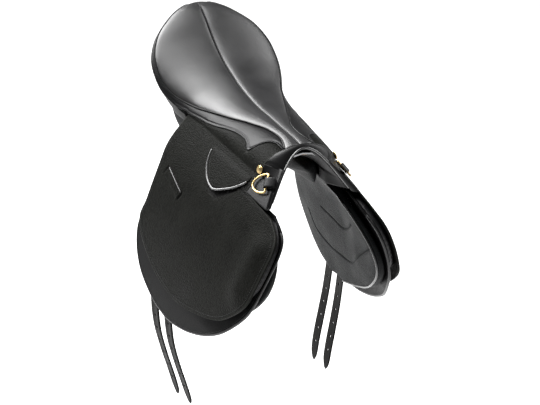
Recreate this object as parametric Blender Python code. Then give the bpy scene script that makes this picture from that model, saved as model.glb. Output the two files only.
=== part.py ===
"""English jumping saddle: every physical piece as its own closed solid, in metres, +X forward,
+Y to the near (left) side, +Z up.  z = 0 is the flat of the panel cushions that rests on a rack."""
import math

import bmesh
import bpy
import numpy as np
from mathutils import Vector

for old in list(bpy.data.objects):
    bpy.data.objects.remove(old, do_unlink=True)

# ---------------------------------------------------------------- driving sizes, metres
HINGE_Z = 0.0735            # height of the fold where each flap lifts
HINGE_X0 = -0.082           # rear end of that fold
HINGE_X1 = 0.150            # front end of that fold
HALF_AT_HINGE = 0.0935      # distance of the fold from the middle, at x = -0.075
TAPER = 0.085               # how fast the fold closes in towards the pommel
FLARE = 0.130               # how far the flaps stand out below the fold
FLARE_DROP = 0.140          # height over which they do so
FLAP_THICK = 0.0040
SWEAT_THICK = 0.0035
BILLET_THICK = 0.0040
BILLET_WIDE = 0.0260
LEATHER = 0.0025            # seat, skirt and facing leather
GAP = 0.0004                # clearance between pieces that touch
WELT_R = 0.0014             # piping radius
D_RING_WIRE = 0.0018        # radius of the D ring's wire
D_RING_TALL = 0.034
D_RING_DEEP = 0.026
STUD_R = 0.0070            # radius of the round stud
BAR_TALL = 0.012
BAR_THICK = 0.0040
SEAT_BACK = -0.266          # rear end of the seat leather
SEAT_FRONT = 0.149          # front end of the seat leather
HOLE_PITCH = 0.0254         # girth straps are punched every inch
HOLE_R = 0.0022

# Seat: station x, then how far the middle stands above the fold, and the edge outside and above it.
SEAT = np.array([
    (-0.2660, 0.1255, -0.0877, 0.1195),
    (-0.2610, 0.1245, -0.0653, 0.1125),
    (-0.2475, 0.1205, -0.0382, 0.1015),
    (-0.2230, 0.1065, -0.0031, 0.0815),
    (-0.1950, 0.0875, 0.0183, 0.0575),
    (-0.1665, 0.0715, 0.0247, 0.0365),
    (-0.1410, 0.0605, 0.0229, 0.0195),
    (-0.1120, 0.0525, 0.0144, 0.0065),
    (-0.0820, 0.0455, 0.0059, 0.0002),
    (-0.0400, 0.0405, 0.0000, 0.0000),
    (0.0000, 0.0395, 0.0000, 0.0000),
    (0.0400, 0.0425, 0.0000, 0.0000),
    (0.0800, 0.0445, 0.0000, 0.0000),
    (0.1200, 0.0475, 0.0000, 0.0000),
    (0.1490, 0.0470, 0.0000, 0.0000)])
SEAT[:, 1] += HINGE_Z
SEAT[:, 2] += HALF_AT_HINGE - TAPER * (SEAT[:, 0] + 0.075)
SEAT[:, 3] += HINGE_Z

# Angle round the seat section, from the middle, of the side welt and of the skirt's lower edge.
WELT_AT = np.array([(-0.266, 56), (-0.255, 66), (-0.24, 73), (-0.12, 76), (-0.09, 70), (-0.062, 64),
                    (-0.005, 43), (0.03, 31), (0.05, 25.5), (0.073, 17.5), (0.10, 14.5), (0.12, 15),
                    (0.14, 20), (0.149, 24)])
SKIRT_AT = np.array([(-0.082, 84), (-0.065, 80), (-0.022, 70), (0.02, 60), (0.06, 56), (0.149, 58)])

# Flap outlines: each row runs from its rear edge (x, z) to its front edge (x, z).
FLAP_ROWS = [
    (-0.082, 0.0730, 0.150, 0.0730), (-0.083, 0.0450, 0.151, 0.0440), (-0.083, 0.0430, 0.236, 0.0400),
    (-0.081, 0.0180, 0.268, 0.0260), (-0.072, -0.0120, 0.283, 0.0050), (-0.066, -0.0450, 0.287, -0.0300),
    (-0.063, -0.0800, 0.287, -0.0620), (-0.066, -0.1120, 0.283, -0.0900), (-0.050, -0.1380, 0.265, -0.1180),
    (-0.020, -0.1600, 0.235, -0.1480), (0.020, -0.1800, 0.200, -0.1670), (0.060, -0.1910, 0.150, -0.1840),
    (0.090, -0.1940, 0.115, -0.1925)]
SWEAT_ROWS = [
    (-0.076, 0.0360, 0.222, 0.0360), (-0.076, 0.0000, 0.266, 0.0200), (-0.074, -0.0450, 0.282, -0.0040),
    (-0.074, -0.0900, 0.286, -0.0420), (-0.076, -0.1310, 0.284, -0.0780), (-0.071, -0.1600, 0.277, -0.1120),
    (-0.054, -0.1930, 0.259, -0.1460), (-0.028, -0.2190, 0.230, -0.1820), (0.014, -0.2410, 0.188, -0.2130),
    (0.045, -0.2490, 0.140, -0.2360), (0.070, -0.2520, 0.100, -0.2480)]
PANEL_ROWS = [
    (-0.074, 0.0280, 0.150, 0.0280), (-0.075, -0.0200, 0.215, 0.0060), (-0.077, -0.0700, 0.258, -0.0200),
    (-0.079, -0.1150, 0.278, -0.0480), (-0.078, -0.1530, 0.281, -0.0800), (-0.066, -0.1880, 0.268, -0.1120),
    (-0.043, -0.2170, 0.240, -0.1460), (-0.010, -0.2350, 0.204, -0.1780), (0.024, -0.2410, 0.158, -0.2060),
    (0.058, -0.2430, 0.106, -0.2320)]
# Panel cushion: station x, underside at the gullet, underside outside, top, inner and outer y.
CUSHION = [
    (-0.240, 0.086, 0.090, 0.124, 0.026, 0.054), (-0.222, 0.058, 0.066, 0.118, 0.025, 0.070),
    (-0.195, 0.028, 0.034, 0.100, 0.024, 0.084), (-0.165, 0.009, 0.012, 0.088, 0.024, 0.089),
    (-0.140, 0.000, 0.000, 0.074, 0.025, 0.088), (-0.110, 0.000, 0.000, 0.062, 0.026, 0.087),
    (-0.078, 0.000, 0.000, 0.057, 0.026, 0.086), (-0.030, 0.000, 0.000, 0.056, 0.026, 0.082),
    (0.020, 0.000, 0.000, 0.056, 0.026, 0.078), (0.060, 0.014, 0.000, 0.057, 0.027, 0.073),
    (0.100, 0.032, 0.004, 0.060, 0.028, 0.066), (0.135, 0.044, 0.012, 0.066, 0.029, 0.058)]

# ---------------------------------------------------------------- scene helpers
parts = bpy.data.collections.new("english_saddle")
cutters = bpy.data.collections.new("cutters")
bpy.context.scene.collection.children.link(parts)
bpy.context.scene.collection.children.link(cutters)
materials = {}


def material(name, colour, rough, metal=0.0):
    made = bpy.data.materials.new(name)
    made.use_nodes = True
    shader = made.node_tree.nodes["Principled BSDF"]
    shader.inputs["Base Color"].default_value = (*colour, 1.0)
    shader.inputs["Roughness"].default_value = rough
    shader.inputs["Metallic"].default_value = metal
    made.diffuse_color = (*colour, 1.0)
    return made


LOOKS = {
    "smooth": ((0.020, 0.020, 0.024), 0.38, 0.0),
    "grained": ((0.026, 0.027, 0.024), 0.52, 0.0),
    "lining": ((0.055, 0.057, 0.060), 0.60, 0.0),
    "foam": ((0.62, 0.56, 0.42), 0.95, 0.0),
    "webbing": ((0.55, 0.50, 0.40), 0.95, 0.0),
    "timber": ((0.55, 0.38, 0.20), 0.60, 0.0),
    "steel": ((0.50, 0.50, 0.52), 0.30, 1.0),
    "brass": ((0.75, 0.55, 0.22), 0.25, 1.0)}


def add(name, mesh, look):
    """One named object with a material of its own."""
    item = bpy.data.objects.new(name, mesh)
    item.data.materials.clear()
    item.data.materials.append(material(name, *LOOKS[look]))
    parts.objects.link(item)
    return item


def closed(name, points, faces, look, side=1):
    """A closed solid from points and faces; side -1 mirrors it to the off side."""
    work = bmesh.new()
    verts = [work.verts.new((p[0], p[1] * side, p[2])) for p in points]
    for face in faces:
        work.faces.new([verts[i] for i in face])
    bmesh.ops.recalc_face_normals(work, faces=work.faces)
    mesh = bpy.data.meshes.new(name)
    work.to_mesh(mesh)
    work.free()
    return add(name, mesh, look)


def slab(name, outer, inner, look, side=1):
    """A leather-like solid between two grids of points of the same shape."""
    rows, cols = outer.shape[:2]
    points = np.concatenate([outer.reshape(-1, 3), inner.reshape(-1, 3)])
    shift = rows * cols

    def at(i, j, layer):
        return i * cols + j + layer * shift

    faces = []
    for i in range(rows - 1):
        for j in range(cols - 1):
            faces.append((at(i, j, 0), at(i + 1, j, 0), at(i + 1, j + 1, 0), at(i, j + 1, 0)))
            faces.append((at(i, j, 1), at(i, j + 1, 1), at(i + 1, j + 1, 1), at(i + 1, j, 1)))
    for i in range(rows - 1):
        for j in (0, cols - 1):
            faces.append((at(i, j, 0), at(i + 1, j, 0), at(i + 1, j, 1), at(i, j, 1)))
    for j in range(cols - 1):
        for i in (0, rows - 1):
            faces.append((at(i, j, 0), at(i, j + 1, 0), at(i, j + 1, 1), at(i, j, 1)))
    return closed(name, points, faces, look, side)


def tube(name, path, section, look, side=1, loop=False, up=(0, 0, 1)):
    """Sweep a flat section (pairs across, along up) down a path, ends filled or joined."""
    path = np.asarray(path, float)
    count = len(path)
    rings = []
    for i in range(count):
        before = path[i - 1] if (loop or i) else path[i]
        after = path[(i + 1) % count] if (loop or i < count - 1) else path[i]
        along = Vector(after - before).normalized()
        across = along.cross(Vector(up[i] if np.ndim(up) > 1 else up)).normalized()
        rise = across.cross(along)
        rings.append([np.array(Vector(path[i]) + across * a + rise * b) for a, b in section])
    size = len(section)
    faces = []
    for i in range(count if loop else count - 1):
        k = (i + 1) % count
        for j in range(size):
            m = (j + 1) % size
            faces.append((i * size + j, k * size + j, k * size + m, i * size + m))
    if not loop:
        faces.append(tuple(range(size)))
        faces.append(tuple((count - 1) * size + j for j in range(size)))
    return closed(name, np.concatenate(rings), faces, look, side)


def round_section(radius, count=8):
    turns = [2 * math.pi * k / count for k in range(count)]
    return [(radius * math.cos(t), radius * math.sin(t)) for t in turns]


def flat_section(across, along):
    a, b = across / 2, along / 2
    return [(-a, -b), (a, -b), (a, b), (-a, b)]


def smooth(value, low, high):
    """0 below low, 1 above high, eased between."""
    t = np.clip((np.asarray(value, float) - low) / (high - low), 0, 1)
    return t * t * (3 - 2 * t)


def ease(table, count):
    """More rows from a short table, by a smooth curve through its rows."""
    table = np.asarray(table, float)
    steps = np.linspace(0, len(table) - 1, count)
    out = []
    for s in steps:
        i = min(int(s), len(table) - 2)
        t = s - i
        a, b = table[i], table[i + 1]
        before = table[i - 1] if i else a
        after = table[i + 2] if i + 2 < len(table) else b
        ma, mb = (b - before) / 2, (after - a) / 2
        out.append((2 * t**3 - 3 * t**2 + 1) * a + (t**3 - 2 * t**2 + t) * ma
                   + (3 * t**2 - 2 * t**3) * b + (t**3 - t**2) * mb)
    return np.array(out)


# ---------------------------------------------------------------- the saddle's surfaces
def fold_y(x):
    """Distance of the flap's fold from the middle."""
    return HALF_AT_HINGE - TAPER * (x + 0.075)


def flap_y(x, z):
    """Outer face of the main flap: flares out below the fold, then hangs nearly straight."""
    drop = HINGE_Z - z
    return fold_y(x) + FLARE * (1 - np.exp(-drop / FLARE_DROP))


def sweat_y(x, z):
    """Outer face of the sweat flap, with room in front and on top for block and stirrup bar."""
    room = np.maximum(smooth(x, 0.13, 0.20), smooth(z, -0.02, 0.035))
    return flap_y(x, z) - FLAP_THICK - 0.005 - 0.010 * room * (1 - smooth(-z, 0.12, 0.20))


def flap_back(x, z):
    return flap_y(x, z) - FLAP_THICK


def panel_out(x, z):
    """Outer face of the panel flap, which leaves room for a girth strap behind the sweat flap."""
    return sweat_y(x, z) - SWEAT_THICK - BILLET_THICK - 0.0030


def panel_in(x, z):
    return panel_out(x, z) - (0.012 + 0.015 * (1 - smooth(x, -0.02, 0.22)) * smooth(z, -0.24, -0.10))


def seat_row(x):
    return [np.interp(x, SEAT[:, 0], SEAT[:, k]) for k in (1, 2, 3)]


def seat_point(x, angle, inset=0.0):
    """A point on the seat's rounded section; angle is measured from the middle, in degrees."""
    crown, half, edge = seat_row(x)
    turn = math.radians(angle)
    return (x, (half - inset) * math.sin(turn), edge + (crown - inset - edge) * math.cos(turn))


def arch_point(angle, inset=0.0):
    """The front edge of the pommel, a parabola-like arch leaning forward at its feet."""
    turn = math.radians(angle)
    return (0.163 + 0.034 * (1 - math.cos(turn)), (0.066 - inset) * angle / 90,
            0.0635 + 0.057 * math.cos(turn) - inset)


def seat_stations(x0, x1, count):
    """Stations closer together where the cantle turns in."""
    t = np.linspace(0, 1, count)
    return x0 + (x1 - x0) * (0.55 * t + 0.45 * t * t)


def seat_grid(stations, first, last, cols, inset):
    return np.array([[seat_point(x, a, inset) for a in np.linspace(first(x), last(x), cols)]
                     for x in stations])


def layer_grid(rows, count, cols, depth):
    """A grid on one of the layers beside the flap; depth(x, z) gives its distance from the middle."""
    grid = []
    for xr, zr, xf, zf in ease(rows, count):
        line = []
        for t in np.linspace(0, 1, cols):
            x, z = xr + (xf - xr) * t, zr + (zf - zr) * t
            line.append((x, depth(x, z), z))
        grid.append(line)
    return np.array(grid)


# ---------------------------------------------------------------- tree and inner pieces
half_loop = [(-0.236, 0.000, 0.163), (-0.228, 0.040, 0.155), (-0.205, 0.074, 0.133), (-0.165, 0.086, 0.106),
             (-0.115, 0.079, 0.082), (-0.060, 0.068, 0.071), (0.000, 0.061, 0.068), (0.060, 0.055, 0.069),
             (0.100, 0.050, 0.073), (0.124, 0.040, 0.083), (0.134, 0.020, 0.096)]
loop = half_loop + [(0.136, 0.0, 0.101)] + [(x, -y, z) for x, y, z in reversed(half_loop[1:])]
tube("tree", loop, flat_section(0.016, 0.009), "timber", loop=True)

arch = [(0.150, -0.0660, 0.036), (0.150, -0.0610, 0.056), (0.150, -0.0520, 0.078), (0.150, -0.0380, 0.094),
        (0.150, -0.0200, 0.1045), (0.150, 0.0, 0.1080)]
arch += [(x, -y, z) for x, y, z in reversed(arch[:-1])]
tube("head_plate", arch, [(b, a) for a, b in flat_section(0.020, 0.003)], "steel", up=(1, 0, 0))

web_stations = np.linspace(-0.190, 0.085, 9)
web_half = [0.062, 0.068, 0.062, 0.057, 0.051, 0.047, 0.044, 0.041, 0.036]
web_z = [0.1290, 0.1130, 0.1010, 0.0930, 0.0880, 0.0860, 0.0860, 0.0870, 0.0900]
web = np.array([[(x, h * t, z - 0.10 * h * abs(t) ** 3) for t in np.linspace(-1, 1, 9)]
                for x, h, z in zip(web_stations, web_half, web_z)])
slab("seat_webbing", web, web - [0, 0, 0.0015], "webbing")

foam_x = [x for x in seat_stations(SEAT_BACK + 0.0012, SEAT_FRONT, 22) if -0.250 < x < 0.136]
foam_top = seat_grid(foam_x, lambda x: -80, lambda x: 80, 17, LEATHER + 0.0014)
foam_low = seat_grid(foam_x, lambda x: -80, lambda x: 80, 17, 0.0125)
slab("seat_foam", foam_top, foam_low, "foam")

# ---------------------------------------------------------------- seat leather, welts and skirts
def welt_angle(x):
    return float(np.interp(x, WELT_AT[:, 0], WELT_AT[:, 1]))


def skirt_angle(x):
    return float(np.interp(x, SKIRT_AT[:, 0], SKIRT_AT[:, 1]))


def side_step(x, distance):
    """The turn of the section that clears the side welt by a small distance, measured square to it."""
    crown, half, edge = seat_row(x)
    turn = math.radians(welt_angle(x))
    speed = math.hypot(half * math.cos(turn), (crown - edge) * math.sin(turn))
    back, fore = max(x - 0.001, SEAT_BACK), min(x + 0.001, SEAT_FRONT)
    a, b = np.array(seat_point(back, welt_angle(back))), np.array(seat_point(fore, welt_angle(fore)))
    slant = min(np.linalg.norm(b - a) / (fore - back), 3.0)
    return math.degrees((distance * slant + 0.0004 * (slant - 1)) / speed)


def middle_step(x):
    return math.degrees((WELT_R + GAP) / seat_row(x)[1])


def seat_inner(x):
    return welt_angle(x) - side_step(x, WELT_R + GAP)


def skirt_upper(x):
    return welt_angle(x) + side_step(x, WELT_R + GAP)


def skirt_lower(x):
    return 96 - 12 * float(smooth(x, -0.12, HINGE_X0)) if x < HINGE_X0 else skirt_angle(x)


seat_x = seat_stations(SEAT_BACK + 0.0012, SEAT_FRONT, 22)
for side, word in ((1, "left"), (-1, "right")):
    slab("seat_leather_" + word, seat_grid(seat_x, middle_step, seat_inner, 9, 0.0),
         seat_grid(seat_x, middle_step, seat_inner, 9, LEATHER), "smooth", side)
    tube("side_welt_" + word, [seat_point(x, welt_angle(x), 0.0008) for x in seat_x],
         round_section(WELT_R, 6), "smooth", side)
    slab("skirt_" + word, seat_grid(seat_x, skirt_upper, skirt_lower, 6, 0.0),
         seat_grid(seat_x, skirt_upper, skirt_lower, 6, LEATHER), "smooth", side)
tube("seat_welt", [seat_point(x, 0, 0.0008) for x in seat_x], round_section(WELT_R, 6), "smooth")

# Cantle facing: the strip under the seat's rear edge, from one flap corner round to the other.
rim = []
for x in list(seat_stations(-0.262, -0.086, 12))[::-1]:
    crown, half, edge = seat_row(x)
    rim.append((x, half, edge))
rim += [(x, -y, z) for x, y, z in reversed(rim)]
rim = np.array(rim)
inward = np.stack([np.interp(rim[:, 0], [-0.262, -0.20, -0.086], [0.017, 0.012, 0.0]),
                   -np.sign(rim[:, 1]) * np.interp(rim[:, 0], [-0.262, -0.24, -0.15, -0.086],
                                                   [0.002, 0.012, 0.024, 0.006]),
                   np.zeros(len(rim))], axis=1)
depth = np.interp(rim[:, 0], [-0.262, -0.20, -0.14, -0.086], [0.040, 0.040, 0.030, 0.010])
facing = []
for t in np.linspace(0, 1, 4):
    drop = np.stack([np.zeros(len(rim)), np.zeros(len(rim)), -0.009 - t * depth], axis=1)
    facing.append(rim + inward * (0.35 + 0.75 * t) + drop)
facing = np.array(facing)
shrink = inward / np.linalg.norm(inward[:, :2], axis=1, keepdims=True) * LEATHER
slab("cantle_facing", facing, facing + shrink, "smooth")

# Pommel front: the rolled band between the seat and the piped edge of the arch.
band = []
for a in np.linspace(-56, 56, 19):
    start, stop = np.array(seat_point(0.1495 + GAP, a)), np.array(arch_point(a, 0.0))
    stop = stop - [0.0024, 0, 0]
    band.append([start + (stop - start) * t - [0, 0, 0.0015 * math.sin(math.pi * t)]
                 for t in np.linspace(0, 1, 4)])
band = np.array(band)
slab("pommel_band", band, band - [0, 0, 0.003], "smooth")
lining = np.array([[(x, 0.053 * a / 90, 0.0635 + 0.0415 * math.cos(math.radians(a)))
                    for x in (0.145, 0.1505, 0.156, 0.1615)] for a in np.linspace(-88, 88, 23)])
slab("arch_lining", lining, lining - np.stack([
    np.zeros(lining.shape[:2]), 0.002 * np.sin(lining[..., 1] / 0.053 * math.pi / 2),
    0.002 * np.cos(lining[..., 1] / 0.053 * math.pi / 2)], axis=2), "smooth")
tube("arch_piping", [arch_point(a) for a in np.linspace(-88, 88, 33)], round_section(0.0020, 6), "smooth",
     up=(1, 0, 0.2))

# ---------------------------------------------------------------- both sides
RING_C = (0.170, HINGE_Z - 0.006)          # middle of the D ring on the flap's face
RING_TURN = 35.0                           # how far its straight side is turned up, degrees


def face_frame(x, z, lift):
    """Origin, down-the-face and outward directions on the flap's outer face, near side."""
    here = Vector((x, float(flap_y(x, z)), z))
    below = Vector((x, float(flap_y(x, z - 0.002)), z - 0.002))
    ahead = Vector((x + 0.002, float(flap_y(x + 0.002, z)), z))
    down = (below - here).normalized()
    forward = (ahead - here).normalized()
    outward = forward.cross(down).normalized()
    if outward.y < 0:
        outward = -outward
    square = forward.cross(outward)
    square = square if square.z < 0 else -square
    turn = math.radians(RING_TURN)
    ahead = forward * math.cos(turn) - square * math.sin(turn)
    return here + outward * lift, ahead, square * math.cos(turn) + forward * math.sin(turn), outward


for side, word in ((1, "left"), (-1, "right")):
    # Flap head: the grained leather above the fold, up to the skirt's edge.
    head_x = np.linspace(HINGE_X0 + 0.001, HINGE_X1, 15)
    grids = []
    for inset in (0.0, LEATHER):
        rows = []
        for x in head_x:
            upper = skirt_angle(x) + math.degrees(GAP / 0.04)
            rows.append([seat_point(x, a, inset) for a in np.linspace(upper, 89.2, 6)])
        grids.append(np.array(rows))
    slab("flap_head_" + word, grids[0], grids[1], "grained", side)

    # Point cover: the leather over the foot of the arch, which stays when the flap lifts.
    cover = []
    for z in np.linspace(0.0455, 0.0942, 9):
        if z <= HINGE_Z:
            x_front = np.interp(z, [0.0455, HINGE_Z], [0.214, 0.1925])
        else:
            x_front = np.interp(z, [HINGE_Z, 0.096], [0.1925, 0.171])
        line = []
        for x in np.linspace(0.1525, x_front, 7):
            if z <= HINGE_Z:
                y = float(flap_y(x, z))
            else:
                rise = (z - HINGE_Z) / 0.047
                rear = fold_y(0.1525) * math.sqrt(1 - rise * rise)
                turn = math.degrees(math.acos((z - 0.0635) / 0.057))
                front = 0.066 * turn / 90 + 0.0060
                y = rear + (front - rear) * (x - 0.1525) / (x_front - 0.1525)
            line.append((x, y, z))
        cover.append(line)
    cover = np.array(cover)
    slab("point_cover_" + word, cover, cover - [0, 0.003, 0], "smooth", side)

    # Main flap, tongue, sweat flap, block and panel flap: layers from outside in.
    slab("flap_" + word, layer_grid(FLAP_ROWS, 25, 15, flap_y), layer_grid(FLAP_ROWS, 25, 15, flap_back),
         "grained", side)
    tongue = [(0.028, 0.0660, 0.140, 0.0660), (0.032, 0.0520, 0.141, 0.0600), (0.041, 0.0380, 0.134, 0.0500),
              (0.054, 0.0270, 0.122, 0.0390), (0.070, 0.0210, 0.108, 0.0300), (0.084, 0.0190, 0.094, 0.0220)]
    slab("flap_tongue_" + word, layer_grid(tongue, 9, 7, lambda x, z: flap_y(x, z) + 0.0045),
         layer_grid(tongue, 9, 7, lambda x, z: flap_y(x, z) + GAP), "grained", side)
    slab("sweat_flap_" + word, layer_grid(SWEAT_ROWS, 21, 15, sweat_y),
         layer_grid(SWEAT_ROWS, 21, 15, lambda x, z: sweat_y(x, z) - SWEAT_THICK), "smooth", side)
    block = [(0.214, 0.0310, 0.238, 0.0310), (0.222, 0.0120, 0.268, 0.0140),
             (0.232, -0.0150, 0.279, -0.0120), (0.236, -0.0450, 0.282, -0.0430),
             (0.232, -0.0720, 0.278, -0.0710), (0.226, -0.0950, 0.264, -0.0930),
             (0.224, -0.1050, 0.244, -0.1030)]
    slab("knee_block_" + word, layer_grid(block, 13, 6, lambda x, z: flap_y(x, z) - FLAP_THICK - 0.0012),
         layer_grid(block, 13, 6, lambda x, z: sweat_y(x, z) + GAP), "smooth", side)
    slab("panel_flap_" + word, layer_grid(PANEL_ROWS, 19, 13, panel_out),
         layer_grid(PANEL_ROWS, 19, 13, panel_in), "lining", side)

    # Panel cushion: the pad under the seat, flat underneath in the middle.
    rings = []
    for x, low_in, low_out, top, y_in, y_out in CUSHION:
        foot = min(y_out - 0.004, 0.0580) if x > -0.09 else y_out - 0.016
        waist = foot + 0.0030 if x > -0.09 else y_out - 0.004
        step = 0.029 if x > -0.09 else low_out + 0.55 * (top - low_out)
        rings.append([
            (x, y_in, top - 0.006), (x, y_in, low_in + 0.014), (x, y_in + 0.005, low_in + 0.003),
            (x, y_in + 0.012, low_in), (x, foot, low_out), (x, waist, low_out + 0.008),
            (x, waist, step), (x, y_out, step + 0.004), (x, y_out - 0.004, top - 0.004),
            (x, y_out - 0.016, top), (x, y_in + 0.010, top)])
    size = len(rings[0])
    faces = [tuple(range(size)), tuple((len(rings) - 1) * size + j for j in range(size))]
    for i in range(len(rings) - 1):
        for j in range(size):
            k = (j + 1) % size
            faces.append((i * size + j, (i + 1) * size + j, (i + 1) * size + k, i * size + k))
    closed("panel_cushion_" + word, np.concatenate(rings), faces, "lining", side)

    # Piping along the front and lower edge of the panel flap, on its inner face.
    edge = ease([(xf - 0.0010, zf) for xr, zr, xf, zf in PANEL_ROWS], 25)
    tube("panel_piping_" + word, [(x, float(panel_in(x, z)) - 0.0034, z) for x, z in edge],
         round_section(0.0019, 6), "smooth", side)

    # Stirrup bar, its catch, and the two rivets that hold it to the head plate.
    bar_z = 0.0520
    bar_y = [float(flap_y(x, bar_z + BAR_TALL / 2)) - FLAP_THICK - BAR_THICK / 2 - 0.001 for x in
             (0.062, 0.085, 0.108, 0.126)]
    bar = [(0.062, bar_y[0], bar_z), (0.085, bar_y[1], bar_z), (0.108, bar_y[2], bar_z),
           (0.126, bar_y[3], bar_z), (0.134, bar_y[3] - 0.003, bar_z),
           (0.139, bar_y[3] - 0.009, bar_z), (0.143, 0.0700, bar_z),
           (0.148, 0.0692, bar_z), (0.161, 0.0690, bar_z)]
    tube("stirrup_bar_" + word, bar, flat_section(BAR_THICK, BAR_TALL), "steel", side)
    catch = [(0.0602, bar_y[0], bar_z), (0.048, bar_y[0] + 0.0009, bar_z), (0.040, bar_y[0] + 0.0011, bar_z)]
    tube("stirrup_catch_" + word, catch, flat_section(BAR_THICK, BAR_TALL * 0.8), "steel", side)
    for word_at, rivet_x in (("front", 0.1585), ("rear", 0.1520)):
        head = [(rivet_x, 0.0713 + d, bar_z) for d in (0.0, 0.0008, 0.0016)]
        rings = []
        for (hx, hy, hz), r in zip(head, (0.0028, 0.0026, 0.0014)):
            rings.append([(hx + r * math.cos(t), hy, hz + r * math.sin(t)) for t in
                          np.linspace(0, 2 * math.pi, 9)[:-1]])
        faces = [tuple(range(8)), tuple(range(16, 24))]
        for i in (0, 8):
            faces += [(i + j, i + 8 + j, i + 8 + (j + 1) % 8, i + (j + 1) % 8) for j in range(8)]
        closed("stirrup_rivet_" + word_at + "_" + word, np.concatenate(rings), faces, "steel", side)

    # D ring, its chape and the round stud above it.
    centre, forward, down, outward = face_frame(*RING_C, 0.0042)
    turns = np.linspace(-math.pi / 2, math.pi / 2, 13)
    straight = 0.009
    ring = []
    for t in turns:
        ring.append(centre + forward * (straight - D_RING_DEEP * math.cos(t))
                    + down * (D_RING_TALL / 2 * math.sin(t)))
    ring = [ring[0] + forward * 0.0015] + ring + [ring[-1] + forward * 0.0015]
    corner = [centre + forward * (straight + 0.0030) + down * (s * (D_RING_TALL / 2 - 0.0018))
              for s in (1, -1)]
    middle = [centre + forward * (straight + 0.0036) + down * (s * (D_RING_TALL / 2 - 0.0060))
              for s in (1, -1)]
    path = [np.array(p) for p in ring + [corner[0], middle[0], middle[1], corner[1]]]
    tube("d_ring_" + word, path, round_section(D_RING_WIRE, 8), "brass", side, loop=True, up=tuple(outward))
    wire = centre + forward * (straight + 0.0036)
    hook = [(0.018, -0.0030), (0.006, -0.0032), (0.0, -0.0032)]
    hook += [(-0.0032 * math.sin(a), -0.0032 * math.cos(a)) for a in (0.785, 1.571, 2.356)]
    hook += [(0.0, 0.0032), (0.006, 0.0030), (0.018, -0.0005)]
    thick = 0.0013
    strip = []
    for i, (a, b) in enumerate(hook):
        prior, later = hook[max(i - 1, 0)], hook[min(i + 1, len(hook) - 1)]
        step = Vector((later[0] - prior[0], later[1] - prior[1])).normalized()
        strip.append([(a, b), (a - step.y * thick, b + step.x * thick)])
    grids = []
    for layer in (0, 1):
        grids.append(np.array([[np.array(wire + forward * q[layer][0] + down * d
                                         + outward * (q[layer][1] + 0.0009))
                                for q in strip] for d in (-0.0085, 0.0, 0.0085)]))
    slab("d_ring_chape_" + word, grids[0], grids[1], "smooth", side)

    # Plain round stud above the ring.
    base = Vector(seat_point(0.149, 77))
    ahead = Vector(seat_point(0.147, 77)) - base
    around = Vector(seat_point(0.149, 79)) - base
    lift = ahead.cross(around).normalized()
    if lift.y < 0:
        lift = -lift
    ahead.normalize()
    around = lift.cross(ahead)
    rings = []
    for high, r in ((0.0014, STUD_R), (0.0026, STUD_R * 0.92), (0.0034, STUD_R * 0.55)):
        rings.append([np.array(base + lift * high + ahead * (r * math.cos(t)) + around * (r * math.sin(t)))
                      for t in np.linspace(0, 2 * math.pi, 13)[:-1]])
    faces = [tuple(range(12)), tuple(range(24, 36))]
    for i in (0, 12):
        faces += [(i + j, i + 12 + j, i + 12 + (j + 1) % 12, i + (j + 1) % 12) for j in range(12)]
    closed("pommel_stud_" + word, np.concatenate(rings), faces, "brass", side)

    # Girth straps: a front and a rear one each side, in the channel between panel and sweat flap.
    for row, middle_x in (("front", 0.078), ("rear", 0.030)):
        rise = np.array([0.026, 0.016, 0.006, -0.004, -0.012, -0.020, -0.045, -0.080, -0.110, -0.140, -0.170,
                         -0.200, -0.225, -0.250, -0.300, -0.345, -0.385, -0.415, -0.430])
        lean = np.interp(-rise, [-0.030, 0.020, 0.080, 0.140, 0.200, 0.250, 0.300, 0.350, 0.395, 0.440],
                         [0.006, -0.003, -0.011, -0.016, -0.018, -0.015, -0.007, 0.006, 0.020, 0.0350])
        if row == "rear":
            rise = rise - 0.012 * smooth(-rise, 0.2, 0.4)
        tuck = 0.036 * smooth(-rise, 0.235, 0.47) ** 1.3
        half = np.full(len(rise), BILLET_WIDE / 2)
        half[-2], half[-1] = BILLET_WIDE * 0.40, BILLET_WIDE * 0.16
        outer = []
        inner = []
        for z, off, fold, wide in zip(rise, lean, tuck, half):
            mid = middle_x + off
            base = float(sweat_y(middle_x, max(z, -0.24))) - SWEAT_THICK - 0.0013
            line_out = []
            line_in = []
            for t in (-1, -0.34, 0.34, 1):
                x = mid + wide * t
                y = base - TAPER * (x - middle_x) - fold
                line_out.append((x, y, z))
                line_in.append((x, y - BILLET_THICK, z))
            outer.append(line_out)
            inner.append(line_in)
        slab("billet_" + row + "_" + word, np.array(outer), np.array(inner), "smooth", side)


# ---------------------------------------------------------------- holes
def cut(name, cutter):
    """Take a cutter out of a piece, exactly."""
    cutter.hide_render = True
    cutter.display_type = "WIRE"
    tool = parts.objects[name].modifiers.new("cut", "BOOLEAN")
    tool.operation = "DIFFERENCE"
    tool.solver = "EXACT"
    tool.object = cutter


def cutter_of(name, work):
    mesh = bpy.data.meshes.new(name)
    work.to_mesh(mesh)
    work.free()
    made = bpy.data.objects.new(name, mesh)
    cutters.objects.link(made)
    return made


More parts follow.
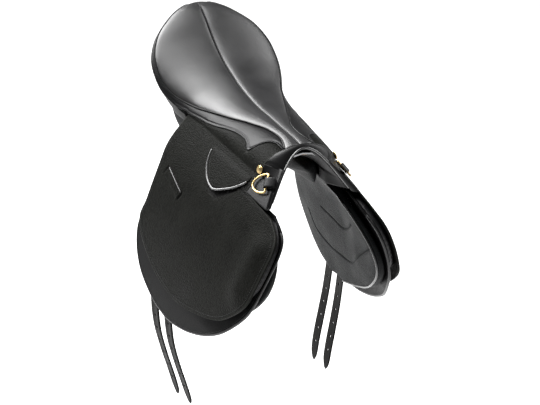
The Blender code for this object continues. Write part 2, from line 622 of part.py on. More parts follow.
for side, word in ((1, "left"), (-1, "right")):
    # The slot under the tongue, where a stirrup leather comes out over the bar.
    work = bmesh.new()
    bmesh.ops.create_cube(work, size=1.0)
    for v in work.verts:
        v.co = (0.083 + 0.050 * v.co.x, side * 0.110 + 0.060 * v.co.y, 0.0370 + 0.0100 * v.co.z)
    cut("flap_" + word, cutter_of("slot_cutter_" + word, work))
    for row, middle_x in (("front", 0.078), ("rear", 0.030)):
        strap = parts.objects["billet_" + row + "_" + word]
        corners = np.array([v.co for v in strap.data.vertices])
        heights = np.unique(corners[:, 2].round(6))
        middles = np.array([corners[np.abs(corners[:, 2] - z) < 1e-5].mean(axis=0) for z in heights])
        low = heights[0]
        work = bmesh.new()
        for k in range(7):
            z = low + 0.034 + HOLE_PITCH * k
            x = np.interp(z, heights, middles[:, 0])
            y = np.interp(z, heights, middles[:, 1])
            made = bmesh.ops.create_cone(work, cap_ends=True, segments=8, radius1=HOLE_R, radius2=HOLE_R,
                                         depth=0.030)
            for v in made["verts"]:
                v.co = (x + v.co.x, y + v.co.z, z + v.co.y)
        bmesh.ops.recalc_face_normals(work, faces=work.faces)
        cut(strap.name, cutter_of("holes_" + row + "_" + word, work))
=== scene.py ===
"""The looks of a black english jumping saddle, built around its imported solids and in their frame:
metres, +X to the pommel, +Y to the near side, +Z up.  The file follows a saddler's order of work."""
import math

import bmesh
import bpy
import numpy as np
from mathutils import Matrix, Vector
from mathutils.kdtree import KDTree


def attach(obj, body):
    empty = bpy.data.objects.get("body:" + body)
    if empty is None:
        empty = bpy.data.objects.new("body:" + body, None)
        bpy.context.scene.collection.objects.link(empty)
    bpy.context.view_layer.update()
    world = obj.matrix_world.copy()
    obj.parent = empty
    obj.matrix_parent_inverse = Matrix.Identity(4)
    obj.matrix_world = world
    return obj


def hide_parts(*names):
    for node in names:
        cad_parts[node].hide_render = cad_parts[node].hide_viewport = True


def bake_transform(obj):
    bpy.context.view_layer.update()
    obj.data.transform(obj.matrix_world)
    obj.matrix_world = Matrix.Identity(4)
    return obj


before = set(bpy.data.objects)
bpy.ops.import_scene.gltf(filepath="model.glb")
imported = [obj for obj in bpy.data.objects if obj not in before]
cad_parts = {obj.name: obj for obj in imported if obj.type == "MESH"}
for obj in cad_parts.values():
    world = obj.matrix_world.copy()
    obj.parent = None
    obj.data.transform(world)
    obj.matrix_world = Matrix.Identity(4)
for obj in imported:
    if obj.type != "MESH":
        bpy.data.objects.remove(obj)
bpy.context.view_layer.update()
SIDES = ((1, "left"), (-1, "right"))

# ---------------------------------------------------------------- tree, head plate and seat webbing
# A ring of laminated beech carries everything.  A steel plate is riveted under its arch, the
# stirrup bars are riveted to the plate, and woven webbing is strained across the ring.
TREE_TONE = (0.50, 0.33, 0.17)
STEEL_TONE = (0.46, 0.46, 0.47)
WEB_TONE = (0.52, 0.47, 0.36)


def new_look(name):
    """A fresh material with its shader, nodes and links."""
    made = bpy.data.materials.new(name)
    made.use_nodes = True
    nodes, links = made.node_tree.nodes, made.node_tree.links
    return made, nodes["Principled BSDF"], nodes, links


def blend_of(nodes, links, factor, low, high, kind="MIX"):
    """A colour from low to high as the factor goes from 0 to 1; each is a value or another node's output."""
    mix = nodes.new("ShaderNodeMix")
    mix.data_type = "RGBA"
    mix.blend_type = kind
    for socket, given in (("Factor", factor), ("A", low), ("B", high)):
        if isinstance(given, bpy.types.NodeSocket):
            links.new(given, mix.inputs[socket])
        else:
            mix.inputs[socket].default_value = given if socket == "Factor" else (*given, 1.0)
    return mix.outputs["Result"]


def noise_of(nodes, links, place, scale, detail):
    made = nodes.new("ShaderNodeTexNoise")
    made.inputs["Scale"].default_value = scale
    made.inputs["Detail"].default_value = detail
    links.new(place, made.inputs["Vector"])
    return made.outputs["Fac"]


def span_of(nodes, links, value, low, high, out_low, out_high):
    made = nodes.new("ShaderNodeMapRange")
    for socket, number in zip(("From Min", "From Max", "To Min", "To Max"), (low, high, out_low, out_high)):
        made.inputs[socket].default_value = number
    links.new(value, made.inputs["Value"])
    return made.outputs["Result"]


def bump_of(nodes, links, height, distance, below=None):
    made = nodes.new("ShaderNodeBump")
    made.inputs["Distance"].default_value = distance
    links.new(height, made.inputs["Height"])
    if below is not None:
        links.new(below, made.inputs["Normal"])
    return made.outputs["Normal"]


def metal(name, tone, rough, brushed=0.00006):
    made, shader, nodes, links = new_look(name)
    place = nodes.new("ShaderNodeTexCoord").outputs["Object"]
    broad = noise_of(nodes, links, place, 90, 3)
    fine = noise_of(nodes, links, place, 1400, 2)
    links.new(blend_of(nodes, links, broad, [t * 0.80 for t in tone], tone), shader.inputs["Base Color"])
    links.new(span_of(nodes, links, broad, 0.3, 0.7, rough * 0.8, rough * 1.3), shader.inputs["Roughness"])
    links.new(bump_of(nodes, links, fine, brushed), shader.inputs["Normal"])
    shader.inputs["Metallic"].default_value = 1.0
    return made


def timber(name, tone):
    made, shader, nodes, links = new_look(name)
    place = nodes.new("ShaderNodeTexCoord").outputs["Object"]
    grain = nodes.new("ShaderNodeTexWave")
    grain.inputs["Scale"].default_value = 60
    grain.inputs["Distortion"].default_value = 4
    links.new(place, grain.inputs["Vector"])
    links.new(blend_of(nodes, links, grain.outputs["Fac"], [t * 0.7 for t in tone], tone),
              shader.inputs["Base Color"])
    links.new(bump_of(nodes, links, grain.outputs["Fac"], 0.0002), shader.inputs["Normal"])
    shader.inputs["Roughness"].default_value = 0.6
    return made


def cloth_look(name, tone, thread):
    """Plain weave or open foam, by the size of its thread or cell."""
    made, shader, nodes, links = new_look(name)
    place = nodes.new("ShaderNodeTexCoord").outputs["Object"]
    cell = nodes.new("ShaderNodeTexVoronoi")
    cell.inputs["Scale"].default_value = 1 / thread
    links.new(place, cell.inputs["Vector"])
    links.new(blend_of(nodes, links, cell.outputs["Distance"], tone, [t * 0.6 for t in tone]),
              shader.inputs["Base Color"])
    links.new(bump_of(nodes, links, cell.outputs["Distance"], -thread * 0.4), shader.inputs["Normal"])
    shader.inputs["Roughness"].default_value = 0.95
    return made


def dress(node, look):
    """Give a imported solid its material."""
    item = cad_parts[node]
    item.data.materials.clear()
    item.data.materials.append(look)


beech = timber("beech_laminate", TREE_TONE)
steel = metal("satin_steel", STEEL_TONE, 0.32)
dress("tree", beech)
dress("head_plate", steel)
for side, word in SIDES:
    for node in ("stirrup_bar_", "stirrup_catch_", "stirrup_rivet_front_", "stirrup_rivet_rear_"):
        dress(node + word, steel)


def finish_piece(item, body, look, *nodes):
    """Material, smooth shading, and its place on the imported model."""
    item.data.materials.clear()
    item.data.materials.append(look)
    item.data.shade_smooth()
    if body:
        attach(item, body)
    if nodes:
        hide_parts(*nodes)
    return item


def linked(name, data):
    """A new object in the scene that holds a mesh or a lamp."""
    item = bpy.data.objects.new(name, data)
    bpy.context.scene.collection.objects.link(item)
    return item


def solid(name, points, faces, side=1):
    """A closed mesh object from points and faces; side -1 mirrors it to the off side."""
    work = bmesh.new()
    verts = [work.verts.new((p[0], p[1] * side, p[2])) for p in points]
    for face in faces:
        work.faces.new([verts[i] for i in face])
    bmesh.ops.recalc_face_normals(work, faces=work.faces)
    mesh = bpy.data.meshes.new(name)
    work.to_mesh(mesh)
    work.free()
    item = linked(name, mesh)
    return item


def loft_faces(rings, size, loop=False):
    """Faces between rings of points, in order, with the two ends closed unless the rings close a loop."""
    faces = []
    for i in range(rings if loop else rings - 1):
        k = (i + 1) % rings
        for j in range(size):
            m = (j + 1) % size
            faces.append((i * size + j, k * size + j, k * size + m, i * size + m))
    if not loop:
        faces += [tuple(range(size)), tuple((rings - 1) * size + j for j in range(size))]
    return faces


def square_to(grid):
    """Unit vectors square to a grid of points."""
    down = np.gradient(grid, axis=0)
    along = np.gradient(grid, axis=1)
    across = np.cross(down, along)
    return across / np.maximum(np.linalg.norm(across, axis=2, keepdims=True), 1e-12)


def from_edges(grid, edges="tblr"):
    """Each point's distance from the nearest named edge of its grid, along the grid."""
    steps_v = np.linalg.norm(np.diff(grid, axis=0), axis=2)
    steps_u = np.linalg.norm(np.diff(grid, axis=1), axis=2)
    v = np.concatenate([np.zeros((1, grid.shape[1])), np.cumsum(steps_v, axis=0)])
    u = np.concatenate([np.zeros((grid.shape[0], 1)), np.cumsum(steps_u, axis=1)], axis=1)
    choice = {"t": v, "b": v[-1:] - v, "l": u, "r": u[:, -1:] - u}
    return np.min([choice[e] for e in edges], axis=0)


def skin(name, outer, inner, side=1, round_over=0.35):
    """A closed sheet between two grids of points, with its edge rounded over."""
    rows, cols = outer.shape[:2]
    shift = rows * cols
    loop = [(0, j) for j in range(cols)] + [(i, cols - 1) for i in range(1, rows)]
    loop += [(rows - 1, j) for j in range(cols - 2, -1, -1)] + [(i, 0) for i in range(rows - 2, 0, -1)]
    middle = (outer + inner) / 2
    centre = middle[min(1, rows - 1):max(rows - 1, 1), min(1, cols - 1):max(cols - 1, 1)]
    rim = []
    for i, j in loop:
        near = middle[min(max(i, 1), rows - 2), min(max(j, 1), cols - 2)]
        out = middle[i, j] - near
        size = np.linalg.norm(out)
        thick = np.linalg.norm(outer[i, j] - inner[i, j])
        rim.append(middle[i, j] + (out / size if size > 1e-9 else 0) * thick * round_over)
    points = np.concatenate([outer.reshape(-1, 3), inner.reshape(-1, 3), np.array(rim)])

    def at(i, j, layer):
        return i * cols + j + layer * shift

    faces = []
    for i in range(rows - 1):
        for j in range(cols - 1):
            faces.append((at(i, j, 0), at(i + 1, j, 0), at(i + 1, j + 1, 0), at(i, j + 1, 0)))
            faces.append((at(i, j, 1), at(i, j + 1, 1), at(i + 1, j + 1, 1), at(i + 1, j, 1)))
    count = len(loop)
    for k, (i, j) in enumerate(loop):
        m = (k + 1) % count
        i2, j2 = loop[m]
        faces.append((at(i, j, 0), at(i2, j2, 0), 2 * shift + m, 2 * shift + k))
        faces.append((2 * shift + k, 2 * shift + m, at(i2, j2, 1), at(i, j, 1)))
    return solid(name, points, faces, side)


WEB_BACK, WEB_FRONT = -0.190, 0.085
WEB_THICK = 0.0015
web_x = np.linspace(WEB_BACK, WEB_FRONT, 40)
web_half = np.interp(web_x, np.linspace(WEB_BACK, WEB_FRONT, 9),
                     [0.062, 0.068, 0.062, 0.057, 0.051, 0.047, 0.044, 0.041, 0.036])
web_z = np.interp(web_x, np.linspace(WEB_BACK, WEB_FRONT, 9),
                  [0.1290, 0.1130, 0.1010, 0.0930, 0.0880, 0.0860, 0.0860, 0.0870, 0.0900])
web = np.array([[(x, h * t, z - 0.10 * h * abs(t) ** 3) for t in np.linspace(-1, 1, 25)]
                for x, h, z in zip(web_x, web_half, web_z)])
webbing = skin("webbing_sling", web, web - [0, 0, WEB_THICK])
finish_piece(webbing, "saddle", cloth_look("strained_webbing", WEB_TONE, 0.0012), "seat_webbing")

# ---------------------------------------------------------------- seat foam
# Latex foam cut to the seat's shape lies on the webbing and the tree, under the leather.
FOAM_TONE = (0.30, 0.27, 0.20)
FOAM_SPREAD = 78
LEATHER = 0.0025
SEAT = np.array([
    (-0.266, 0.199, 0.022, 0.193), (-0.261, 0.198, 0.044, 0.186), (-0.2475, 0.194, 0.070, 0.175),
    (-0.223, 0.180, 0.103, 0.155), (-0.195, 0.161, 0.122, 0.131), (-0.1665, 0.145, 0.126, 0.110),
    (-0.141, 0.134, 0.122, 0.093), (-0.112, 0.126, 0.111, 0.080), (-0.082, 0.119, 0.100, 0.0737),
    (-0.040, 0.114, 0.0905, 0.0735), (0.000, 0.113, 0.0871, 0.0735), (0.040, 0.116, 0.0837, 0.0735),
    (0.080, 0.118, 0.0803, 0.0735), (0.120, 0.121, 0.0769, 0.0735), (0.149, 0.1205, 0.0745, 0.0735)])
SEAT_BACK, SEAT_FRONT = -0.2655, 0.149


def curve_through(table, steps):
    """A curve without corners through the rows of a table."""
    where = np.linspace(0, len(table) - 1, steps)
    low = np.clip(where.astype(int), 0, len(table) - 2)
    t = (where - low)[:, None]
    a, b = table[low], table[low + 1]
    before, after = table[np.maximum(low - 1, 0)], table[np.minimum(low + 2, len(table) - 1)]
    ma, mb = (b - before) / 2, (after - a) / 2
    return ((2 * t**3 - 3 * t**2 + 1) * a + (t**3 - 2 * t**2 + t) * ma
            + (3 * t**2 - 2 * t**3) * b + (t**3 - t**2) * mb)


def eased_table(stations, table):
    """Each column's value at the stations, which are given in the first column's measure."""
    curve = curve_through(table, 900)
    order = np.argsort(curve[:, 0])
    return np.array([np.interp(stations, curve[order, 0], curve[order, k])
                     for k in range(1, table.shape[1])])


def seat_point(x, angle, inset=0.0):
    """A point on the seat's rounded section; angle is measured from the middle, in degrees."""
    crown, half, edge = [float(v) for v in eased_table([x], SEAT)[:, 0]]
    turn = math.radians(angle)
    return (x, (half - inset) * math.sin(turn), edge + (crown - inset - edge) * math.cos(turn))


def seat_grid(stations, first, last, cols, inset):
    """A grid on the seat between two angles, each a value for every station."""
    table = eased_table(stations, SEAT)
    grid = np.zeros((len(stations), cols, 3))
    for i, x in enumerate(stations):
        turn = np.radians(np.linspace(first[i], last[i], cols))
        crown, half, edge = table[:, i]
        grid[i, :, 0] = x
        grid[i, :, 1] = (half - inset) * np.sin(turn)
        grid[i, :, 2] = edge + (crown - inset - edge) * np.cos(turn)
    return grid


def stations_of(x0, x1, count):
    """Stations closer together where the cantle turns in."""
    t = np.linspace(0, 1, count)
    return x0 + (x1 - x0) * (0.35 * t + 0.65 * t * t)


foam_x = stations_of(-0.249, 0.134, 80)
every = np.ones(len(foam_x))
foam_top, foam_low = (seat_grid(foam_x, -FOAM_SPREAD * every, FOAM_SPREAD * every, 41, inset)
                      for inset in (LEATHER + 0.0030, 0.0125))
foam = skin("foam_pad", foam_top, foam_low)
finish_piece(foam, "saddle", cloth_look("latex_foam", FOAM_TONE, 0.0015), "seat_foam")

# ---------------------------------------------------------------- panels
# Two stuffed leather cushions bear on the horse either side of the gullet, and a quilted panel
# flap hangs from each.  They are cut from fine-grained lining leather, piped along the front.
LINING_TONE = (0.0140, 0.0150, 0.0156)
# Near-black painted into creases and hollows as shade.
CREASE_SHADE_TONE = (0.001, 0.001, 0.001)
HINGE_Z = 0.0735
HALF_AT_HINGE = 0.0935
TAPER = 0.085
FLARE = 0.130
FLARE_DROP = 0.140
SWEAT_THICK = 0.0035
BILLET_THICK = 0.0040
PANEL_ROWS = np.array([
    (-0.074, 0.0280, 0.150, 0.0280), (-0.075, -0.0200, 0.215, 0.0060), (-0.077, -0.0700, 0.258, -0.0200),
    (-0.079, -0.1150, 0.278, -0.0480), (-0.078, -0.1530, 0.281, -0.0800), (-0.066, -0.1880, 0.268, -0.1120),
    (-0.043, -0.2170, 0.240, -0.1460), (-0.010, -0.2350, 0.204, -0.1780), (0.024, -0.2410, 0.158, -0.2060),
    (0.058, -0.2430, 0.106, -0.2320)])
CUSHION = [
    (-0.240, 0.086, 0.090, 0.124, 0.026, 0.054), (-0.222, 0.058, 0.066, 0.118, 0.025, 0.070),
    (-0.195, 0.028, 0.034, 0.100, 0.024, 0.084), (-0.165, 0.009, 0.012, 0.088, 0.024, 0.089),
    (-0.140, 0.000, 0.000, 0.074, 0.025, 0.088), (-0.110, 0.000, 0.000, 0.062, 0.026, 0.087),
    (-0.078, 0.000, 0.000, 0.057, 0.026, 0.086), (-0.030, 0.000, 0.000, 0.056, 0.026, 0.082),
    (0.020, 0.000, 0.000, 0.056, 0.026, 0.078), (0.060, 0.014, 0.000, 0.057, 0.027, 0.073),
    (0.100, 0.032, 0.004, 0.060, 0.028, 0.066), (0.135, 0.044, 0.012, 0.066, 0.029, 0.058)]
# The quilting lines of the panel flap, as (x, z) on its inner face.
QUILT_LONG = [(-0.018, -0.137), (0.003, -0.171), (0.053, -0.176), (0.100, -0.168), (0.158, -0.150),
              (0.217, -0.088), (0.262, -0.045)]
QUILT_SHORT = [(0.050, -0.090), (0.092, -0.089), (0.132, -0.087), (0.170, -0.060), (0.200, -0.030)]


def leather(name, tone, rough, pebble, depth, coat=0.0, mottled=0.25, shine=0.25):
    """Leather: pebbles of the given size and depth, pores and broad fading.  The mesh may carry two values at
    each point, both 0 to 1: one paints a pale highlight along an edge, the other paints dark shade into a
    crease or hollow."""
    made, shader, nodes, links = new_look(name)
    place = nodes.new("ShaderNodeTexCoord").outputs["Object"]
    cells = nodes.new("ShaderNodeTexVoronoi")
    cells.feature = "SMOOTH_F1"
    cells.inputs["Scale"].default_value = 1 / pebble
    cells.inputs["Smoothness"].default_value = 0.35
    links.new(place, cells.inputs["Vector"])
    pebbles = span_of(nodes, links, cells.outputs["Distance"], 0.15, 0.75, 1.0, 0.0)
    pores = noise_of(nodes, links, place, 2.2 / pebble, 4)
    broad = noise_of(nodes, links, place, 22, 5)
    dark = [t * (1 - mottled) for t in tone]
    light = [t * (1 + mottled) + 0.002 for t in tone]
    colour = blend_of(nodes, links, span_of(nodes, links, broad, 0.30, 0.70, 0, 1), dark, light)
    shade = blend_of(nodes, links, pebbles, (0.55, 0.55, 0.55), (1, 1, 1))
    colour = blend_of(nodes, links, 1.0, colour, shade, "MULTIPLY")
    # Painted light: the first stored value lightens the colour as a painted highlight along edges, the second
    # darkens it as painted shade in creases and hollows.
    for title, end in (("edge_highlight", [min(1, t * 2.4 + 0.030) for t in tone]), ("crease_shade", CREASE_SHADE_TONE)):
        stored = nodes.new("ShaderNodeAttribute")
        stored.attribute_name = title
        colour = blend_of(nodes, links, stored.outputs["Fac"], colour, end)
    links.new(colour, shader.inputs["Base Color"])
    links.new(span_of(nodes, links, broad, 0.30, 0.70, rough * 0.88, rough * 1.14),
              shader.inputs["Roughness"])
    first = bump_of(nodes, links, pores, depth * 0.35)
    links.new(bump_of(nodes, links, pebbles, depth, first), shader.inputs["Normal"])
    shader.inputs["Coat Weight"].default_value = coat
    shader.inputs["Coat Roughness"].default_value = rough * 1.1
    shader.inputs["Specular IOR Level"].default_value = shine
    return made


def between(value, low, high):
    """0 below low, 1 above high, eased between."""
    t = np.clip((np.asarray(value, float) - low) / (high - low), 0, 1)
    return t * t * (3 - 2 * t)


def eased(table, count):
    """More rows from a short table, by a curve through its rows, evenly spaced along it."""
    table = np.asarray(table, float)
    curve = curve_through(table, 60 * len(table))
    walked = np.concatenate([[0], np.cumsum(np.linalg.norm(np.diff(curve, axis=0), axis=1))])
    even = np.linspace(0, walked[-1], count)
    return np.stack([np.interp(even, walked, curve[:, k]) for k in range(table.shape[1])], axis=1)


def fold_y(x):
    return HALF_AT_HINGE - TAPER * (x + 0.075)


def flap_y(x, z):
    """Outer face of the main flap: flares out below the fold, then hangs nearly straight."""
    return fold_y(x) + FLARE * (1 - np.exp(-(HINGE_Z - z) / FLARE_DROP))


def sweat_y(x, z):
    """Outer face of the sweat flap, with room in front and on top for block and stirrup bar."""
    room = np.maximum(between(x, 0.13, 0.20), between(z, -0.02, 0.035))
    return flap_y(x, z) - 0.009 - 0.010 * room * (1 - between(-z, 0.12, 0.20))


def panel_out(x, z):
    return sweat_y(x, z) - SWEAT_THICK - BILLET_THICK - 0.0030


def panel_in(x, z):
    return panel_out(x, z) - (0.012 + 0.015 * (1 - between(x, -0.02, 0.22)) * between(z, -0.24, -0.10))


def layer_grid(rows, count, cols, depth):
    """A grid on one of the layers beside the flap; depth(x, z) gives its distance from the middle."""
    rows = eased(rows, count)
    t = np.linspace(0, 1, cols)[None, :]
    x = rows[:, 0:1] + (rows[:, 2:3] - rows[:, 0:1]) * t
    z = rows[:, 1:2] + (rows[:, 3:4] - rows[:, 1:2]) * t
    return np.stack([x, depth(x, z), z], axis=2)


def near_line(points, line):
    """Each point's distance from a line through the given points."""
    line = eased(line, 400)
    tree = KDTree(len(line))
    for i, p in enumerate(line):
        tree.insert(p, i)
    tree.balance()
    return np.array([tree.find(p)[2] for p in points.reshape(-1, 3)]).reshape(points.shape[:-1])


def mark(item, name, values):
    """Store a value at each point, which the leather materials read."""
    made = item.data.attributes.new(name, "FLOAT", "POINT")
    full = np.zeros(len(item.data.vertices), np.float32)
    full[:len(values)] = values
    made.data.foreach_set("value", full)


def tube(name, path, radius, side=1, loop=False, count=10, up=(0, 0, 1)):
    """Piping, wire or a rolled edge along a path, its ends closed over."""
    path = np.asarray(path, float)
    total = len(path)
    rings = []
    for i in range(total):
        before = path[i - 1] if (loop or i) else path[i]
        after = path[(i + 1) % total] if (loop or i < total - 1) else path[i]
        along = Vector(after - before).normalized()
        across = along.cross(Vector(up)).normalized()
        rise = across.cross(along)
        size = radius if loop or 0 < i < total - 1 else radius * 0.55
        rings.append([np.array(Vector(path[i]) + across * (size * math.cos(t)) + rise * (size * math.sin(t)))
                      for t in np.linspace(0, 2 * math.pi, count + 1)[:-1]])
    return solid(name, np.concatenate(rings), loft_faces(total, count, loop), side)


def stitch_tree(look):
    """Rows of stitches along seam lines: pitch, length and thread thickness are its inputs."""
    tree = bpy.data.node_groups.new("stitch_rows_" + look.name, "GeometryNodeTree")
    ask = tree.interface.new_socket
    ask("Seam lines", in_out="INPUT", socket_type="NodeSocketGeometry")
    sockets = {}
    for title, size in (("Stitch pitch", 0.0030), ("Stitch length", 0.0021), ("Thread thickness", 0.00055)):
        sockets[title] = ask(title, in_out="INPUT", socket_type="NodeSocketFloat")
        sockets[title].default_value = size
    ask("Stitches", in_out="OUTPUT", socket_type="NodeSocketGeometry")
    new = tree.nodes.new
    start, end = new("NodeGroupInput"), new("NodeGroupOutput")
    curve = new("GeometryNodeMeshToCurve")
    even = new("GeometryNodeResampleCurve")
    even.mode = "LENGTH"
    spots = new("GeometryNodeCurveToPoints")
    spots.mode = "EVALUATED"
    bead = new("GeometryNodeMeshUVSphere")
    bead.inputs["Segments"].default_value = 6
    bead.inputs["Rings"].default_value = 4
    bead.inputs["Radius"].default_value = 0.5
    size = new("ShaderNodeCombineXYZ")
    place = new("GeometryNodeInstanceOnPoints")
    real = new("GeometryNodeRealizeInstances")
    paint = new("GeometryNodeSetMaterial")
    paint.inputs["Material"].default_value = look
    for source, target in (
            (start.outputs["Seam lines"], curve.inputs["Mesh"]),
            (curve.outputs["Curve"], even.inputs["Curve"]),
            (start.outputs["Stitch pitch"], even.inputs["Length"]),
            (even.outputs["Curve"], spots.inputs["Curve"]),
            (spots.outputs["Points"], place.inputs["Points"]),
            (spots.outputs["Rotation"], place.inputs["Rotation"]),
            (bead.outputs["Mesh"], place.inputs["Instance"]),
            (start.outputs["Thread thickness"], size.inputs["X"]),
            (start.outputs["Thread thickness"], size.inputs["Y"]),
            (start.outputs["Stitch length"], size.inputs["Z"]),
            (size.outputs["Vector"], place.inputs["Scale"]),
            (place.outputs["Instances"], real.inputs["Geometry"]),
            (real.outputs["Geometry"], paint.inputs["Geometry"]),
            (paint.outputs["Geometry"], end.inputs["Stitches"])):
        tree.links.new(source, target)
    return tree, sockets


def thread_look(name, tone):
    made, shader, nodes, links = new_look(name)
    place = nodes.new("ShaderNodeTexCoord").outputs["Object"]
    twist = noise_of(nodes, links, place, 2600, 2)
    links.new(blend_of(nodes, links, twist, [t * 0.6 for t in tone], tone), shader.inputs["Base Color"])
    links.new(bump_of(nodes, links, twist, 0.0001), shader.inputs["Normal"])
    shader.inputs["Roughness"].default_value = 0.55
    return made


black_thread = thread_look("black_waxed_thread", (0.045, 0.045, 0.048))
STITCH_TREE, STITCH_SIZES = stitch_tree(black_thread)


def stitches(name, lines, body, pitch=0.0030, length=0.0021, thread=0.00055):
    """Stitches along each of the lines, as one plain mesh that rides on a body."""
    points, edges = [], []
    for line in lines:
        first = len(points)
        points += [tuple(p) for p in line]
        edges += [(first + k, first + k + 1) for k in range(len(line) - 1)]
    mesh = bpy.data.meshes.new(name)
    mesh.from_pydata(points, edges, [])
    item = linked(name, mesh)
    tool = item.modifiers.new("rows", "NODES")
    tool.node_group = STITCH_TREE
    for title, value in (("Stitch pitch", pitch), ("Stitch length", length), ("Thread thickness", thread)):
        tool[STITCH_SIZES[title].identifier] = value
    graph = bpy.context.evaluated_depsgraph_get()
    real = bpy.data.meshes.new_from_object(item.evaluated_get(graph))
    item.modifiers.remove(tool)
    item.data = real
    item.data.shade_smooth()
    if body:
        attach(item, body)
    return item


def mirrored(line, side):
    return np.asarray(line, float) * [1, side, 1]


lining = leather("panel_lining_leather", LINING_TONE, 0.52, 0.0024, 0.00040, shine=0.04)
bead_leather = leather("bead_leather", (0.016, 0.016, 0.016), 0.28, 0.0010, 0.00003, coat=0.3, shine=0.5)
smooth_black = leather("smooth_black_leather", (0.0045, 0.0045, 0.0050), 0.36, 0.0011, 0.00006,
                       coat=0.05, shine=0.20)
panel_face = layer_grid(PANEL_ROWS, 210, 160, panel_in)
panel_back = layer_grid(PANEL_ROWS, 210, 160, panel_out)
inside = from_edges(panel_face)
into = square_to(panel_face)
into *= np.sign(-into[:, :, 1:2])
swell = 0.0035 * (1 - np.exp(-inside / 0.016)) - 0.0030 * np.exp(-inside / 0.004)
quilted = []
for line in (QUILT_LONG, QUILT_SHORT):
    quilted.append([(x, float(panel_in(x, z)), z) for x, z in eased(line, 60)])
seam_gap = np.min([near_line(panel_face, line) for line in quilted], axis=0)
swell -= 0.0022 * np.exp(-(seam_gap / 0.0019) ** 2)
panel_face = panel_face + into * swell[:, :, None]
for side, word in SIDES:
    flap = skin("panel_flap_quilted_" + word, panel_face, panel_back, side, 0.25)
    # The quilting lines are painted dark as shade in their creases.
    mark(flap, "crease_shade", (0.75 * np.exp(-(seam_gap / 0.0010) ** 2)).ravel())
    finish_piece(flap, "saddle", lining, "panel_flap_" + word)
    rings = []
    for x, low_in, low_out, top, y_in, y_out in CUSHION:
        foot = min(y_out - 0.004, 0.0580) if x > -0.09 else y_out - 0.016
        waist = foot + 0.0030 if x > -0.09 else y_out - 0.004
        step = 0.029 if x > -0.09 else low_out + 0.55 * (top - low_out)
        rings.append([
            (x, y_in, top - 0.006), (x, y_in, low_in + 0.014), (x, y_in + 0.005, low_in + 0.003),
            (x, y_in + 0.012, low_in), (x, foot, low_out), (x, waist, low_out + 0.008),
            (x, waist, step), (x, y_out, step + 0.004), (x, y_out - 0.004, top - 0.004),
            (x, y_out - 0.016, top), (x, y_in + 0.010, top)])
    faces = loft_faces(len(rings), len(rings[0]))
    pad = solid("panel_pad_" + word, np.concatenate(rings), faces, side)
    round_off = pad.modifiers.new("round", "SUBSURF")
    round_off.levels = round_off.render_levels = 3
    finish_piece(pad, "saddle", lining, "panel_cushion_" + word)
    edge = eased([(x - 0.0010, z) for _, _, x, z in PANEL_ROWS], 160)
    bead = [(x - 0.0022, float(panel_in(x, z)) - 0.0010, z) for x, z in edge]
    finish_piece(tube("panel_bead_" + word, bead, 0.0019, side), "saddle", bead_leather,
                 "panel_piping_" + word)

# ---------------------------------------------------------------- girth straps
# Two straps a side hang from the tree through the gap between panel and sweat flap.  Each is
# doubled strap leather stitched near both edges, punched every inch and cut to a point.
BILLET_WIDE = 0.0260
HOLE_PITCH = 0.0254
HOLE_R = 0.0024
HOLES = 7
TIP_TO_HOLE = 0.034
strap_leather = leather("strap_leather", (0.0040, 0.0038, 0.0036), 0.38, 0.0013, 0.00010, shine=0.04)


def strap_lines(row, middle_x):
    """The strap's face and back as grids, near side."""
    rise = np.array([0.026, 0.016, 0.006, -0.004, -0.012, -0.020, -0.045, -0.080, -0.110, -0.140, -0.170,
                     -0.200, -0.225, -0.250, -0.300, -0.345, -0.385, -0.415, -0.430])
    lean = np.interp(-rise, [-0.030, 0.020, 0.080, 0.140, 0.200, 0.250, 0.300, 0.350, 0.395, 0.440],
                     [0.006, -0.003, -0.011, -0.016, -0.018, -0.015, -0.007, 0.006, 0.020, 0.0350])
    if row == "rear":
        rise = rise - 0.012 * between(-rise, 0.2, 0.4)
    tuck = 0.036 * between(-rise, 0.235, 0.47) ** 1.3
    half = np.full(len(rise), BILLET_WIDE / 2)
    half[-2], half[-1] = BILLET_WIDE * 0.44, BILLET_WIDE * 0.12
    base = sweat_y(middle_x, np.maximum(rise, -0.24)) - SWEAT_THICK - 0.0013
    spine = eased(np.stack([middle_x + lean, base - tuck, rise, half], axis=1), 190)
    t = np.linspace(-1, 1, 15)[None, :]
    x = spine[:, 0:1] + spine[:, 3:4] * t
    y = spine[:, 1:2] - TAPER * (x - middle_x)
    z = spine[:, 2:3] + 0 * t
    crown = 0.0005 * np.exp(-((np.abs(t) - 0.62) / 0.16) ** 2) + 0 * x
    face = np.stack([x, y + crown - 0.0011, z], axis=2)
    return face, np.stack([x, y - BILLET_THICK + 0.0006, z], axis=2), spine


for row, middle_x in (("front", 0.078), ("rear", 0.030)):
    face, back, spine = strap_lines(row, middle_x)
    low = spine[:, 2].min()
    for side, word in SIDES:
        strap = skin("girth_strap_" + row + "_" + word, face, back, side)
        work = bmesh.new()
        for k in range(HOLES):
            z = low + TIP_TO_HOLE + HOLE_PITCH * k
            spot = [np.interp(z, spine[::-1, 2], spine[::-1, c]) for c in (0, 1)]
            made = bmesh.ops.create_cone(work, cap_ends=True, segments=16, radius1=HOLE_R,
                                         radius2=HOLE_R, depth=0.03)
            for v in made["verts"]:
                v.co = (spot[0] + v.co.x, side * spot[1] + v.co.z, z + v.co.y)
        bmesh.ops.recalc_face_normals(work, faces=work.faces)
        punch_mesh = bpy.data.meshes.new("punch")
        work.to_mesh(punch_mesh)
        work.free()
        punch = linked("punch", punch_mesh)
        tool = strap.modifiers.new("punched", "BOOLEAN")
        tool.solver = "EXACT"
        tool.object = punch
        graph = bpy.context.evaluated_depsgraph_get()
        strap.data = bpy.data.meshes.new_from_object(strap.evaluated_get(graph))
        strap.modifiers.clear()
        bpy.data.objects.remove(punch)
        body = "strap_" + row + "_" + word
        finish_piece(strap, body, strap_leather, "billet_" + row + "_" + word)
        for t, title in ((2, "rear"), (12, "front")):
            line = face[4:-6, t] + [0, 0.0002, 0]
            stitches("strap_stitch_" + row + "_" + title + "_" + word, [mirrored(line, side)], body,
                     0.0042, 0.0030)

